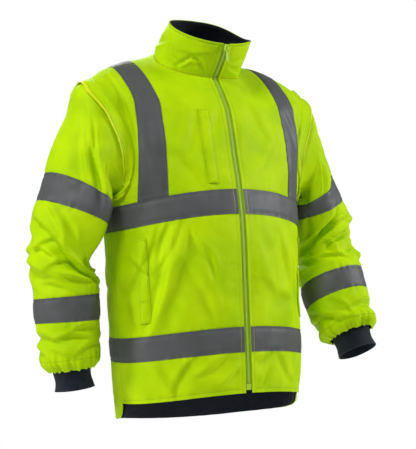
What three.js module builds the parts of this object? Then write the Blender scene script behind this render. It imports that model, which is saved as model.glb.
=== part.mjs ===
// Hi-vis work jacket in the hollow shape it has when it is worn: stand collar, full front zip, zip-off
// sleeves under a cap flap, knitted cuffs, a longer rounded back and sewn reflective tape.
// Millimetres. +Z is up, the front faces -Y and the wearer's left is +X. The origin lies between the
// shoulders at the height of the neck, where the wearer holds the jacket up.
import * as THREE from "three";
import { mergeVertices } from "three/addons/utils/BufferGeometryUtils.js";

// Cloth and seams
const shellWall = 2; // padded outer cloth
const liningWall = 1.2;
const tapeWall = 0.8;
const knitWall = 2.4;
const seamGap = 0.3;
const paddingGap = 7; // between the outer cloth and the lining

// Where things are, as heights of the front centre line or widths from it
const hemHeight = -662;
const neckHeight = -32;
const armpitHeight = -240;
const shoulderSeamTop = -90; // ring on which the armhole meets the shoulder seam
const yokeHeight = -116; // above it the rows fan out to the neck and shoulder seams
const tapeWidth = 49;
const chestTapeTop = -256;
const hemTapeTop = -524.5;
const braceInner = 146;
const braceOuter = 195;
const neckHalf = 93;
const zipOpening = 8; // from the centre line to the edge of each front
const zipTapeHalf = 16.5;
const zipLow = -642;
const facingEdge = 17.5; // half width of the turned edges and the zip between them
const tailDrop = 61;
const tailCorner = 13; // degrees round from the side seam over which the tail rounds off
const armholeFront = 36; // degrees that the armhole is cut in front of the side seam
const armholeBack = 33;
const armholeSquare = 0.78; // under 1 squares the armhole's ends

const degree = Math.PI / 180;
const lerp = (a, b, t) => a + (b - a) * t;
const clamp = (x, low, high) => Math.min(high, Math.max(low, x));

// Rings of the body. "at" is the ring's height on the front centre line.
const bodyRings = [
  { at: -745, side: -720, rear: -757, half: 200, front: 172, back: 117, ridge: -18, fullFront: 0, fullBack: 0.05 },
  { at: -662, side: -682, rear: -667, half: 204, front: 170, back: 119, ridge: -16, fullFront: 0, fullBack: 0.05 },
  { at: -575, side: -597, rear: -584, half: 208, front: 166, back: 123, ridge: -12, fullFront: 0, fullBack: 0.05 },
  { at: -460, side: -487, rear: -476, half: 213, front: 159, back: 129, ridge: -7, fullFront: 0, fullBack: 0.05 },
  { at: -360, side: -394, rear: -382, half: 216, front: 152, back: 135, ridge: -1, fullFront: 0, fullBack: 0.05 },
  { at: -300, side: -337, rear: -325, half: 219, front: 143, back: 140, ridge: 3, fullFront: 0, fullBack: 0.05 },
  { at: -240, side: -277, rear: -262, half: 225, front: 128, back: 143, ridge: 6, fullFront: 0, fullBack: 0.05 },
  { at: -185, side: -200, rear: -190, half: 247, front: 109, back: 141, ridge: 11, fullFront: 0, fullBack: 0 },
  { at: -150, side: -140, rear: -140, half: 260, front: 98, back: 135, ridge: 16, fullFront: -0.05, fullBack: -0.05 },
  { at: -120, side: -92, rear: -95, half: 266, front: 87, back: 126, ridge: 21, fullFront: -0.12, fullBack: -0.12 },
  { at: -98, side: -57, rear: -60, half: 263, front: 78, back: 115, ridge: 26, fullFront: -0.14, fullBack: -0.16 },
  { at: -85, side: -35, rear: -35, half: 236, front: 72, back: 108, ridge: 29, fullFront: -0.2, fullBack: -0.16 },
  { at: -70, side: -16, rear: -8, half: 193, front: 64, back: 103, ridge: 31, fullFront: -0.2, fullBack: -0.12 },
  { at: -52, side: -4, rear: 17, half: 140, front: 54, back: 98, ridge: 29, fullFront: -0.1, fullBack: -0.05 },
  { at: -32, side: 3, rear: 37, half: 93, front: 42, back: 92, ridge: 25, fullFront: 0, fullBack: 0 },
  { at: -12, side: 10, rear: 50, half: 70, front: 30, back: 86, ridge: 25, fullFront: 0, fullBack: 0 },
];

// Rings of the stand collar, which leans forward with the neck. "at" runs from its seam to its top edge.
const collarRings = [
  { at: 0, side: 3, rear: 37, frontZ: -32, half: 93, front: 42, back: 92, ridge: 25 },
  { at: 0.3, side: 22, rear: 53, frontZ: -13, half: 95, front: 56, back: 80, ridge: 12 },
  { at: 0.65, side: 44, rear: 72, frontZ: 10, half: 94, front: 71, back: 58, ridge: -7 },
  { at: 1, side: 64, rear: 90, frontZ: 33, half: 90, front: 82, back: 35, ridge: -23 },
];

// Rings down each sleeve. lean and pitch turn the ring's axis down and forward, up and deep are its
// half sizes, and twist turns its front inwards, where the sleeve lies against the body.
const rightSleeveRings = [
  { at: 0, x: 217, y: 17, z: -164, lean: 2, pitch: 0, up: 96, deep: 51, twist: 0, egg: 0.25 },
  { at: 26, x: 241, y: 17, z: -166, lean: 6, pitch: 0, up: 101, deep: 59, twist: 0, egg: 0.23 },
  { at: 50, x: 259, y: 18, z: -171, lean: 9, pitch: 0, up: 104, deep: 65, twist: 0, egg: 0.2 },
  { at: 76, x: 268, y: 19, z: -190, lean: 16, pitch: 0, up: 87, deep: 71, twist: 4, egg: 0.14 },
  { at: 106, x: 277, y: 17, z: -218, lean: 34, pitch: 0, up: 69, deep: 74, twist: 9, egg: 0.06 },
  { at: 138, x: 283, y: 15, z: -248, lean: 52, pitch: 0, up: 60, deep: 76, twist: 14, egg: 0 },
  { at: 172, x: 290, y: 14, z: -279, lean: 65, pitch: 0, up: 57, deep: 74, twist: 17, egg: 0 },
  { at: 222, x: 307, y: 17, z: -327, lean: 69, pitch: -2, up: 61, deep: 71, twist: 14, egg: 0 },
  { at: 282, x: 323, y: 22, z: -385, lean: 75, pitch: 0, up: 56, deep: 65, twist: 8, egg: 0 },
  { at: 338, x: 309, y: 20, z: -440, lean: 94, pitch: 4, up: 61, deep: 66, twist: 4, egg: 0 },
  { at: 387, x: 309, y: 17, z: -489, lean: 91, pitch: 4, up: 60, deep: 64, twist: 4, egg: 0 },
  { at: 449, x: 307, y: 12, z: -550, lean: 94, pitch: 4, up: 58, deep: 60, twist: 4, egg: 0 },
  { at: 487, x: 304, y: 10, z: -590, lean: 95, pitch: 4, up: 54, deep: 56, twist: 4, egg: 0 },
  { at: 502, x: 302, y: 9, z: -605, lean: 97, pitch: 4, up: 42, deep: 44, twist: 4, egg: 0 },
];
const leftSleeveRings = [
  { at: 0, x: 217, y: 17, z: -164, lean: 2, pitch: 0, up: 96, deep: 51, twist: 0, egg: 0.25 },
  { at: 26, x: 241, y: 17, z: -166, lean: 6, pitch: 0, up: 101, deep: 59, twist: 0, egg: 0.23 },
  { at: 50, x: 258, y: 18, z: -171, lean: 9, pitch: 0, up: 103, deep: 65, twist: 0, egg: 0.2 },
  { at: 76, x: 265, y: 20, z: -190, lean: 14, pitch: 0, up: 87, deep: 71, twist: 4, egg: 0.14 },
  { at: 106, x: 275, y: 18, z: -218, lean: 33, pitch: 0, up: 68, deep: 74, twist: 9, egg: 0.06 },
  { at: 136, x: 284, y: 14, z: -246, lean: 53, pitch: 0, up: 61, deep: 76, twist: 14, egg: 0 },
  { at: 166, x: 293, y: 11, z: -270, lean: 66, pitch: 2, up: 63, deep: 74, twist: 16, egg: 0 },
  { at: 213, x: 310, y: 8, z: -315, lean: 70, pitch: 6, up: 67, deep: 70, twist: 12, egg: 0 },
  { at: 265, x: 319, y: 3, z: -365, lean: 75, pitch: 14, up: 66, deep: 68, twist: 8, egg: 0 },
  { at: 318, x: 314, y: -15, z: -413, lean: 82, pitch: 24, up: 67, deep: 70, twist: 4, egg: 0 },
  { at: 374, x: 309, y: -41, z: -464, lean: 84, pitch: 27, up: 69, deep: 70, twist: 2, egg: 0 },
  { at: 431, x: 310, y: -66, z: -513, lean: 84, pitch: 27, up: 68, deep: 68, twist: 2, egg: 0 },
  { at: 467, x: 314, y: -82, z: -545, lean: 84, pitch: 27, up: 63, deep: 64, twist: 2, egg: 0 },
  { at: 482, x: 316, y: -89, z: -557, lean: 84, pitch: 27, up: 47, deep: 49, twist: 2, egg: 0 },
];
const sleeveTapes = [
  { name: "upper", right: [149, 198], left: [141, 190] },
  { name: "lower", right: [363, 412], left: [350, 399] },
];

// Folds of the cloth. (u, v) is the middle of each, in millimetres across and along the piece, slant is
// its turn from across, in degrees, and a negative depth is a trough.
const frontFolds = [
  { u: 150, v: -190, length: 90, width: 24, slant: 72, depth: 4 },
  { u: 62, v: -420, length: 200, width: 34, slant: 62, depth: 4 },
  { u: 128, v: -440, length: 230, width: 26, slant: 80, depth: 5 },
  { u: 168, v: -410, length: 180, width: 20, slant: 95, depth: -4 },
  { u: 80, v: -600, length: 120, width: 26, slant: 55, depth: 3 },
  { u: 190, v: -560, length: 150, width: 24, slant: 98, depth: 4 },
];
const backFolds = [
  { u: 0, v: -150, length: 300, width: 30, slant: 0, depth: -3 },
  { u: 90, v: -330, length: 220, width: 32, slant: 66, depth: 5 },
  { u: -90, v: -330, length: 220, width: 32, slant: 114, depth: 5 },
  { u: 40, v: -560, length: 240, width: 34, slant: 84, depth: 5 },
  { u: -50, v: -580, length: 220, width: 34, slant: 97, depth: 5 },
  { u: 165, v: -520, length: 260, width: 28, slant: 88, depth: 4 },
  { u: -165, v: -500, length: 260, width: 28, slant: 92, depth: 4 },
];
const sleeveFolds = [
  { u: 45, v: 122, length: 120, width: 22, slant: 68, depth: -5 },
  { u: 96, v: 144, length: 110, width: 20, slant: 80, depth: 5 },
  { u: 20, v: 232, length: 120, width: 20, slant: 24, depth: 5 },
  { u: 40, v: 276, length: 170, width: 20, slant: 34, depth: -8 },
  { u: 10, v: 312, length: 110, width: 20, slant: 16, depth: 6 },
  { u: 170, v: 288, length: 130, width: 24, slant: -10, depth: -6 },
  { u: 215, v: 261, length: 110, width: 24, slant: -24, depth: 5 },
  { u: 260, v: 326, length: 150, width: 24, slant: 20, depth: 5 },
  { u: 330, v: 276, length: 150, width: 24, slant: -18, depth: -5 },
  { u: 60, v: 438, length: 130, width: 20, slant: 8, depth: -5 },
  { u: 290, v: 444, length: 150, width: 20, slant: -8, depth: -5 },
];

// Height of the folds at a place on the cloth.
function foldHeight(folds, u, v) {
  let sum = 0;
  for (const fold of folds) {
    const turn = fold.slant * degree;
    const du = u - fold.u;
    const dv = v - fold.v;
    const along = du * Math.cos(turn) + dv * Math.sin(turn);
    const across = dv * Math.cos(turn) - du * Math.sin(turn);
    sum += fold.depth * Math.exp(-((across / fold.width) ** 2) - ((2 * along) / fold.length) ** 4);
  }
  return sum;
}

// The row of a table at a place between its rows, each column on a smooth curve.
function between(rows, at) {
  const last = rows.length - 1;
  let i = 0;
  while (i < last - 1 && rows[i + 1].at < at) i += 1;
  const before = rows[Math.max(i - 1, 0)];
  const from = rows[i];
  const to = rows[i + 1];
  const after = rows[Math.min(i + 2, last)];
  const span = to.at - from.at;
  const t = clamp((at - from.at) / span, 0, 1);
  const made = { at };
  for (const key of Object.keys(from)) {
    if (key === "at") continue;
    const slopeFrom = before === from ? (to[key] - from[key]) / span : (to[key] - before[key]) / (to.at - before.at);
    const slopeTo = after === to ? (to[key] - from[key]) / span : (after[key] - from[key]) / (after.at - from.at);
    const t2 = t * t;
    const t3 = t2 * t;
    made[key] =
      (2 * t3 - 3 * t2 + 1) * from[key] +
      (t3 - 2 * t2 + t) * span * slopeFrom +
      (3 * t2 - 2 * t3) * to[key] +
      (t3 - t2) * span * slopeTo;
  }
  return made;
}

// A point of a ring. The angle is 0 at the front centre and 90 degrees at the wearer's left.
function ringPoint(ring, angle, frontZ) {
  const c = Math.cos(angle);
  const s = Math.sin(angle);
  const rise = frontZ - ring.side;
  const rearRise = ring.rear - ring.side;
  const full = 1 + (c > 0 ? (ring.fullFront ?? 0) : (ring.fullBack ?? 0)) * s * s;
  const depth = c > 0 ? ring.front + ring.ridge : ring.back - ring.ridge;
  return new THREE.Vector3(
    ring.half * s,
    ring.ridge - depth * c * full,
    ring.side + ((rise - rearRise) / 2) * c + ((rise + rearRise) / 2) * c * c,
  );
}

function unfoldedBody(angle, height) {
  return ringPoint(between(bodyRings, height), angle, height);
}

function normalOf(pointAt, u, v, du, dv) {
  const across = pointAt(u + du, v).sub(pointAt(u - du, v));
  const along = pointAt(u, v + dv).sub(pointAt(u, v - dv));
  return across.cross(along).normalize();
}

// A point of the outer cloth of the body, with its folds, which fade out at the seams.
function bodyPoint(angle, height) {
  const point = unfoldedBody(angle, height);
  const normal = normalOf(unfoldedBody, angle, height, 0.5 * degree, 1);
  const half = between(bodyRings, height).half;
  const inFront = Math.cos(angle) > 0;
  const fromSide = Math.abs(Math.cos(angle));
  const underYoke = clamp((yokeHeight + 10 - height) / 60, 0, 1);
  const fade = clamp(fromSide / 0.3, 0, 1) * underYoke;
  const u = Math.sin(angle) * half * (inFront ? 1 : -1);
  const centre = inFront ? clamp((Math.abs(u) - 12) / 30, 0, 1) : 1;
  const height_ = foldHeight(inFront ? frontFolds : backFolds, inFront ? Math.abs(u) : u, height);
  return point.addScaledVector(normal, height_ * fade * centre);
}

function bodyNormal(angle, height) {
  return normalOf(bodyPoint, angle, height, 0.5 * degree, 1);
}

function place(angle, height) {
  return { point: bodyPoint(angle, height), normal: bodyNormal(angle, height) };
}

// The same place without folds, for the lining.
function smoothPlace(angle, height) {
  return { point: unfoldedBody(angle, height), normal: normalOf(unfoldedBody, angle, height, 0.5 * degree, 1) };
}

// The ring on which the shoulder ridge has a given width.
function ringOfWidth(width) {
  let low = shoulderSeamTop - 2;
  let high = neckHeight;
  for (let i = 0; i < 40; i += 1) {
    const middle = (low + high) / 2;
    if (between(bodyRings, middle).half > width) low = middle;
    else high = middle;
  }
  return (low + high) / 2;
}

const shoulderHalf = between(bodyRings, shoulderSeamTop).half;

// Heights of the rows of the fronts and back, from the hem to the armpit. Tape edges are rows.
const rowsUp = (from, to, count) => Array.from({ length: count }, (_, i) => lerp(from, to, i / count));
const lowRows = [
  hemHeight,
  zipLow,
  ...rowsUp(-608, hemTapeTop - tapeWidth, 1),
  ...rowsUp(hemTapeTop - tapeWidth, hemTapeTop, 2),
  ...rowsUp(hemTapeTop, chestTapeTop - tapeWidth, 6),
  ...rowsUp(chestTapeTop - tapeWidth, chestTapeTop, 2),
  chestTapeTop,
];
const armRows = 10;
const hemTapeRows = [3, 5];
const chestTapeRows = [11, 13];
const armpitRow = lowRows.length;

// Columns from the centre to the outer edge: centre to brace, brace, and brace to edge.
const frontWidths = [zipOpening, facingEdge, 55, neckHalf, 120, braceInner];
const backWidths = [0, 31, 62, neckHalf, 120, braceInner];
const columnZones = [5, 2, 4];
const braceColumns = [columnZones[0], columnZones[0] + columnZones[1]];
const outerColumn = columnZones[0] + columnZones[1] + columnZones[2];
const edgeTurn = 0.06 * degree; // leaves the seam gap between front and back

// Angle from the centre line to the outer edge of a panel on the armhole's row.
function armholeAngle(turn, cut) {
  return 90 * degree - edgeTurn - cut * degree * Math.sin(turn) ** armholeSquare;
}

// One row of places from the centre line (inner edge) to the outer edge of a panel, for the left side.
function panelRow(row, widths, cut) {
  const places = [];
  const armTurn = clamp((row - armpitRow) / armRows, 0, 1) * Math.PI;
  const rise = (1 - Math.cos(armTurn)) / 2;
  const edgeHeight = row < armpitRow ? lowRows[row] : lerp(armpitHeight, shoulderSeamTop, rise);
  const top = ringOfWidth(neckHalf);
  const edgeWidth = between(bodyRings, edgeHeight).half * Math.sin(armholeAngle(armTurn, cut));
  for (let i = 0; i <= outerColumn; i += 1) {
    const edges = [widths[0], braceInner, braceOuter];
    let zone = 0;
    let first = 0;
    while (zone < 2 && i > first + columnZones[zone]) {
      first += columnZones[zone];
      zone += 1;
    }
    let share = (i - first) / columnZones[zone];
    if (zone === 0) share = (widths[i] - widths[0]) / (braceInner - widths[0]);
    const widthAt = (height) => {
      const half = between(bodyRings, height).half;
      const outer = half * Math.sin(row < armpitRow ? 90 * degree - edgeTurn : armholeAngle(armTurn, cut));
      const from = Math.asin(clamp(edges[zone] / half, -1, 1));
      const to = Math.asin(clamp((zone < 2 ? edges[zone + 1] : outer) / half, -1, 1));
      return Math.sin(lerp(from, to, share)) * half;
    };
    let height = edgeHeight;
    if (edgeHeight > yokeHeight) {
      const firstRow = armpitRow + 7;
      const even = (row - firstRow) / (armpitRow + armRows - firstRow);
      const edgeShare = (edgeHeight - yokeHeight) / (shoulderSeamTop - yokeHeight);
      const seamWidth = lerp(edges[zone], zone < 2 ? edges[zone + 1] : shoulderHalf, share);
      const outerShare = zone < 2 ? 0 : share;
      const seamHeight = seamWidth <= neckHalf ? top : ringOfWidth(seamWidth);
      height = lerp(yokeHeight, seamHeight, lerp(even, edgeShare, outerShare));
      const half = between(bodyRings, height).half;
      const rowWidth = zone < 2 ? seamWidth : lerp(braceOuter, edgeWidth, share);
      const most = 90 * degree - edgeTurn;
      places.push({ angle: Math.min(Math.asin(clamp(rowWidth / half, -1, 1)), most), height });
      continue;
    }
    const half = between(bodyRings, height).half;
    places.push({ angle: Math.asin(clamp(widthAt(height) / half, -1, 1)), height });
  }
  return places;
}

const topRow = armpitRow + armRows;

// Rows of points and normals of a front, from its zip edge to its side seam.
function frontGrid(side) {
  const grid = [];
  for (let row = 0; row <= topRow; row += 1) {
    grid.push(panelRow(row, frontWidths, armholeFront).map(({ angle, height }) => place(side * angle, height)));
  }
  return grid;
}

// Rows of the back, from the wearer's right to the left, with the rounded tail below the hem's row.
const tailRows = 2;
function backGrid(at = place) {
  const grid = [];
  for (let row = -tailRows; row <= topRow; row += 1) {
    const half = panelRow(Math.max(row, 0), backWidths, armholeBack);
    const line = [...half.slice(1).reverse().map((p) => ({ ...p, angle: -p.angle })), ...half];
    grid.push(
      line.map(({ angle, height }) => {
        const round = clamp((90 - Math.abs(angle) / degree) / tailCorner, 0, 1);
        const drop = (tailDrop - 3) * Math.sqrt(1 - (1 - round) ** 2) + 3;
        const low = row < 0 ? (drop * -row) / tailRows : 0;
        return at(Math.PI - angle, height - low);
      }),
    );
  }
  return grid;
}

// A closed wall over rows of places: its outer face lies "lift" above them.
function wall(grid, lift, thickness, around = false) {
  const rows = grid.length;
  const columns = grid[0].length;
  const positions = [];
  for (const level of [lift, lift - thickness]) {
    for (const line of grid) {
      for (const { point, normal } of line) {
        const p = point.clone().addScaledVector(normal, level);
        positions.push(p.x, p.y, p.z);
      }
    }
  }
  const inside = rows * columns;
  const index = [];
  const quad = (a, b, c, d) => index.push(a, b, c, a, c, d);
  const at = (row, column) => row * columns + (column % columns);
  const lastColumn = around ? columns : columns - 1;
  for (let row = 0; row < rows - 1; row += 1) {
    for (let column = 0; column < lastColumn; column += 1) {
      const [a, b, c, d] = [at(row, column), at(row, column + 1), at(row + 1, column + 1), at(row + 1, column)];
      quad(a, b, c, d);
      quad(a + inside, d + inside, c + inside, b + inside);
    }
  }
  for (let column = 0; column < lastColumn; column += 1) {
    const low = [at(0, column), at(0, column + 1)];
    const high = [at(rows - 1, column), at(rows - 1, column + 1)];
    quad(low[1], low[0], low[0] + inside, low[1] + inside);
    quad(high[0], high[1], high[1] + inside, high[0] + inside);
  }
  if (!around) {
    for (let row = 0; row < rows - 1; row += 1) {
      const first = [at(row, 0), at(row + 1, 0)];
      const last = [at(row, columns - 1), at(row + 1, columns - 1)];
      quad(first[0], first[1], first[1] + inside, first[0] + inside);
      quad(last[1], last[0], last[0] + inside, last[1] + inside);
    }
  }
  const geometry = new THREE.BufferGeometry();
  geometry.setAttribute("position", new THREE.Float32BufferAttribute(positions, 3));
  geometry.setIndex(index);
  return facingOut(geometry);
}

function signedVolume(geometry) {
  const p = geometry.getAttribute("position");
  const corner = [new THREE.Vector3(), new THREE.Vector3(), new THREE.Vector3()];
  let sum = 0;
  for (let i = 0; i < geometry.index.count; i += 3) {
    corner.forEach((v, k) => v.fromBufferAttribute(p, geometry.index.getX(i + k)));
    sum += corner[0].dot(corner[1].clone().cross(corner[2]));
  }
  return sum / 6;
}

function facingOut(geometry) {
  if (signedVolume(geometry) < 0) {
    const turned = Array.from(geometry.index.array);
    for (let i = 0; i < turned.length; i += 3) {
      [turned[i + 1], turned[i + 2]] = [turned[i + 2], turned[i + 1]];
    }
    geometry.setIndex(turned);
  }
  geometry.computeVertexNormals();
  return geometry;
}

const colours = {
  shell: { color: 0xa6d40e, roughness: 0.55 },
  tape: { color: 0x5c6163, roughness: 0.35 },
  navy: { color: 0x141c2a, roughness: 0.9 },
  zip: { color: 0x93b92c, roughness: 0.5 },
};
const jacket = new THREE.Group();

function add(name, geometry, colour) {
  const material = new THREE.MeshStandardMaterial({ ...colours[colour], metalness: 0 });
  const mesh = new THREE.Mesh(geometry, material);
  mesh.name = name;
  jacket.add(mesh);
  return mesh;
}

// Some rows and columns of a grid, both ends included.
function partOf(grid, [firstRow, lastRow], [firstColumn, lastColumn]) {
  return grid.slice(firstRow, lastRow + 1).map((line) => line.slice(firstColumn, lastColumn + 1));
}

// The back's lining: about every second row and column of the panel. It stops short of the seam at the
// top, and of the armholes, where the sleeves pass inside.
const liningSetback = 12;
function liningOf(grid) {
  const keep = (list) => list.filter((_, i) => i % 2 === 0 || i === list.length - 1);
  const kept = grid.map((line, row) => {
    const points = keep(line);
    if (row < armpitRow + tailRows) return points;
    const setBack = (end, next) => {
      const step = next.point.clone().sub(end.point).normalize();
      return { point: end.point.clone().addScaledVector(step, liningSetback), normal: end.normal };
    };
    const last = points.length - 1;
    return [setBack(points[0], points[1]), ...points.slice(1, last), setBack(points[last], points[last - 1])];
  });
  return trimmed(keep(kept), seamGap, 3);
}

// A strip pulled back at its first and last rows.
function trimmed(grid, byFirst, byLast) {
  const cut = (line, other, by) =>
    line.map((p, i) => {
      const step = other[i].point.clone().sub(p.point).normalize();
      return { point: p.point.clone().addScaledVector(step, by), normal: p.normal };
    });
  const last = grid.length - 1;
  return [cut(grid[0], grid[1], byFirst), ...grid.slice(1, last), cut(grid[last], grid[last - 1], byLast)];
}

// The fronts, back, their linings and the tape sewn to them
const fronts = { right: frontGrid(-1), left: frontGrid(1) };
const back = backGrid();
const tapeLift = seamGap + tapeWall;
const liningLift = -shellWall - paddingGap;
for (const [side, grid] of Object.entries(fronts)) {
  add(`front_${side}`, wall(grid, 0, shellWall), "shell");
  add(`tape_hem_${side}`, wall(partOf(grid, hemTapeRows, [0, outerColumn]), tapeLift, tapeWall), "tape");
  add(`tape_chest_${side}`, wall(partOf(grid, chestTapeRows, [0, outerColumn]), tapeLift, tapeWall), "tape");
}
add("back", wall(back, 0, shellWall), "shell");
add("lining_back", wall(liningOf(backGrid(smoothPlace)), liningLift, liningWall), "navy");
const backRows = (rows) => rows.map((row) => row + tailRows);
add("tape_hem_back", wall(partOf(back, backRows(hemTapeRows), [0, 2 * outerColumn]), tapeLift, tapeWall), "tape");
add("tape_chest_back", wall(partOf(back, backRows(chestTapeRows), [0, 2 * outerColumn]), tapeLift, tapeWall), "tape");

// Braces run from the chest tape over the shoulders, short of it and of the shoulder seam.
const braceRows = [chestTapeRows[1], topRow];
const braceStrip = (grid, rows, columns) => trimmed(partOf(grid, rows, columns), seamGap, 4 * seamGap);
for (const [side, grid] of Object.entries(fronts)) {
  add(`tape_brace_front_${side}`, wall(braceStrip(grid, braceRows, braceColumns), tapeLift, tapeWall), "tape");
}
const backBraces = {
  right: braceColumns.map((c) => outerColumn - c).reverse(),
  left: braceColumns.map((c) => outerColumn + c),
};
for (const [side, columns] of Object.entries(backBraces)) {
  add(`tape_brace_back_${side}`, wall(braceStrip(back, backRows(braceRows), columns), tapeLift, tapeWall), "tape");
}

// The stand collar and its lining, open at the zip
const collarRows = 4;
const collarColumns = 24;
function collarPoint(angle, at) {
  const ring = between(collarRings, at);
  return ringPoint(ring, angle, ring.frontZ);
}
const collarWidths = [zipOpening, facingEdge];
function collarGrid(start, end) {
  const grid = [];
  for (let row = 0; row <= collarRows; row += 1) {
    const at = lerp(start, end, row / collarRows);
    const half = between(collarRings, at).half;
    const [edge, facing] = collarWidths.map((x) => Math.asin(x / half));
    const angles = [edge];
    for (let column = 0; column <= collarColumns - 2; column += 1) {
      angles.push(lerp(facing, 2 * Math.PI - facing, column / (collarColumns - 2)));
    }
    angles.push(2 * Math.PI - edge);
    grid.push(angles.map((angle) => collarPlace(angle, at)));
  }
  return grid;
}
function collarPlace(angle, at) {
  return { point: collarPoint(angle, at), normal: normalOf(collarPoint, angle, at, 0.5 * degree, 0.01) };
}
const collar = collarGrid(0.012, 1);
const collarLining = partOf(collar, [0, collarRows], [1, collarColumns - 1]);
add("collar", wall(collar, 0, shellWall), "shell");
add("collar_lining", wall(collarLining, -shellWall - seamGap, liningWall), "navy");

// How far the cap flap stands out from the armhole and how steeply it falls, from the armpit (first)
// to the shoulder (last).
const flapShape = [
  { reach: 8, fall: 42 },
  { reach: 13, fall: 42 },
  { reach: 20, fall: 40 },
  { reach: 25, fall: 38 },
  { reach: 28, fall: 36 },
  { reach: 30, fall: 34 },
  { reach: 31, fall: 33 },
  { reach: 31, fall: 32 },
  { reach: 30, fall: 31 },
  { reach: 29, fall: 30 },
  { reach: 28, fall: 29 },
];

// The cap flap: sewn along the armhole and standing over the top of the sleeve.
const flapRows = 3;
function flapGrid(side) {
  const front = fronts[side > 0 ? "left" : "right"];
  const backColumn = side > 0 ? 2 * outerColumn : 0;
  const seam = [];
  for (let i = 0; i <= armRows; i += 1) seam.push(front[armpitRow + i][outerColumn]);
  for (let i = armRows - 1; i > 0; i -= 1) seam.push(back[armpitRow + tailRows + i][backColumn]);
  const lines = [];
  for (let row = 0; row <= flapRows; row += 1) {
    lines.push(
      seam.map(({ point, normal }, i) => {
        const inFront = i <= armRows;
        const { reach, fall } = flapShape[inFront ? i : 2 * armRows - i];
        const spread = -0.3 * Math.sin((i / armRows) * Math.PI);
        const out = new THREE.Vector3(side * Math.cos(fall * degree), spread, -Math.sin(fall * degree));
        const share = row / flapRows;
        const lift = shellWall + 2 * seamGap + 3 * Math.sin(Math.PI * share);
        return point.clone().addScaledVector(normal, lift).addScaledVector(out, reach * share);
      }),
    );
  }
  return withNormals(lines, side);
}

// Normals of rows of points that close round, from their neighbours.
function withNormals(lines, side) {
  const count = lines[0].length;
  return lines.map((line, row) =>
    line.map((point, i) => {
      const across = line[(i + 1) % count].clone().sub(line[(i + count - 1) % count]);
      const above = lines[Math.min(row + 1, lines.length - 1)][i];
      const below = lines[Math.max(row - 1, 0)][i];
      const normal = above.clone().sub(below).cross(across).normalize();
      return { point, normal: normal.multiplyScalar(-side) };
    }),
  );
}
add("armhole_flap_right", wall(flapGrid(-1), 0, shellWall, true), "shell");
add("armhole_flap_left", wall(flapGrid(1), 0, shellWall, true), "shell");

// A point of a sleeve: turn 0 is the outer side and 90 degrees the front.
function unfoldedSleeve(rings, side, turn, at) {
  const ring = between(rings, at);
  const lean = ring.lean * degree;
  const pitch = ring.pitch * degree;
  const twist = ring.twist * degree;
  const axis = new THREE.Vector3(
    side * Math.cos(lean) * Math.cos(pitch),
    -Math.sin(pitch),
    -Math.sin(lean) * Math.cos(pitch),
  );
  const up = new THREE.Vector3(side * Math.sin(lean), 0, Math.cos(lean));
  const forward = axis.clone().cross(up).normalize().multiplyScalar(side);
  if (forward.y > 0) forward.negate();
  const outward = forward.clone().cross(axis).normalize();
  if (outward.x * side < 0 && ring.lean > 20) outward.negate();
  if (outward.z < 0 && ring.lean <= 20) outward.negate();
  forward.multiplyScalar(Math.cos(twist)).addScaledVector(outward, -Math.sin(twist));
  return new THREE.Vector3(side * ring.x, ring.y, ring.z)
    .addScaledVector(outward, ring.up * Math.cos(turn))
    .addScaledVector(forward, ring.deep * Math.sin(turn) * (1 - ring.egg * Math.cos(turn)));
}

const sleeveGirth = 400; // millimetres round, for placing the folds
function sleevePoint(rings, side, turn, at) {
  const flat = (u, v) => unfoldedSleeve(rings, side, u, v);
  const normal = normalOf(flat, turn, at, 0.5 * degree, 1).multiplyScalar(side);
  const whole = 2 * Math.PI;
  const u = ((((turn % whole) + whole) % whole) / whole) * sleeveGirth;
  const ends = clamp((at - 66) / 40, 0, 1) * clamp((rings[rings.length - 1].at - 8 - at) / 25, 0, 1);
  const height = foldHeight(sleeveFolds, u, at) + foldHeight(sleeveFolds, u - sleeveGirth, at);
  return flat(turn, at).addScaledVector(normal, height * ends);
}

const sleeveColumns = 22;
const evenRows = (from, to, count) => Array.from({ length: count + 1 }, (_, i) => lerp(from, to, i / count));
function sleeveGrid(rings, side, heights) {
  const surface = (u, v) => sleevePoint(rings, side, u, v);
  return heights.map((at) =>
    Array.from({ length: sleeveColumns }, (_, i) => {
      const turn = (i / sleeveColumns) * 2 * Math.PI;
      const normal = normalOf(surface, turn, at, 0.5 * degree, 0.5).multiplyScalar(side);
      return { point: surface(turn, at), normal };
    }),
  );
}

for (const [side, rings, sign] of [
  ["right", rightSleeveRings, -1],
  ["left", leftSleeveRings, 1],
]) {
  const [upper, lower] = sleeveTapes.map((tape) => tape[side]);
  const end = rings[rings.length - 1].at;
  const upperSeam = (upper[0] + upper[1]) / 2;
  const lowerSeam = (lower[0] + lower[1]) / 2;
  // Three lengths of cloth, joined under the two tapes
  const lengths = {
    top: [...evenRows(0, upper[0], 5), upperSeam - seamGap / 2],
    middle: [upperSeam + seamGap / 2, ...evenRows(upper[1], lower[0], 8), lowerSeam - seamGap / 2],
    low: [lowerSeam + seamGap / 2, ...evenRows(lower[1], end - 14, 4), end - 6, end],
  };
  for (const [length, heights] of Object.entries(lengths)) {
    add(`sleeve_${length}_${side}`, wall(sleeveGrid(rings, sign, heights), 0, shellWall, true), "shell");
  }
  for (const tape of sleeveTapes) {
    const strip = sleeveGrid(rings, sign, evenRows(...tape[side], 2));
    add(`tape_sleeve_${tape.name}_${side}`, wall(strip, tapeLift, tapeWall, true), "tape");
  }
}

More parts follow.
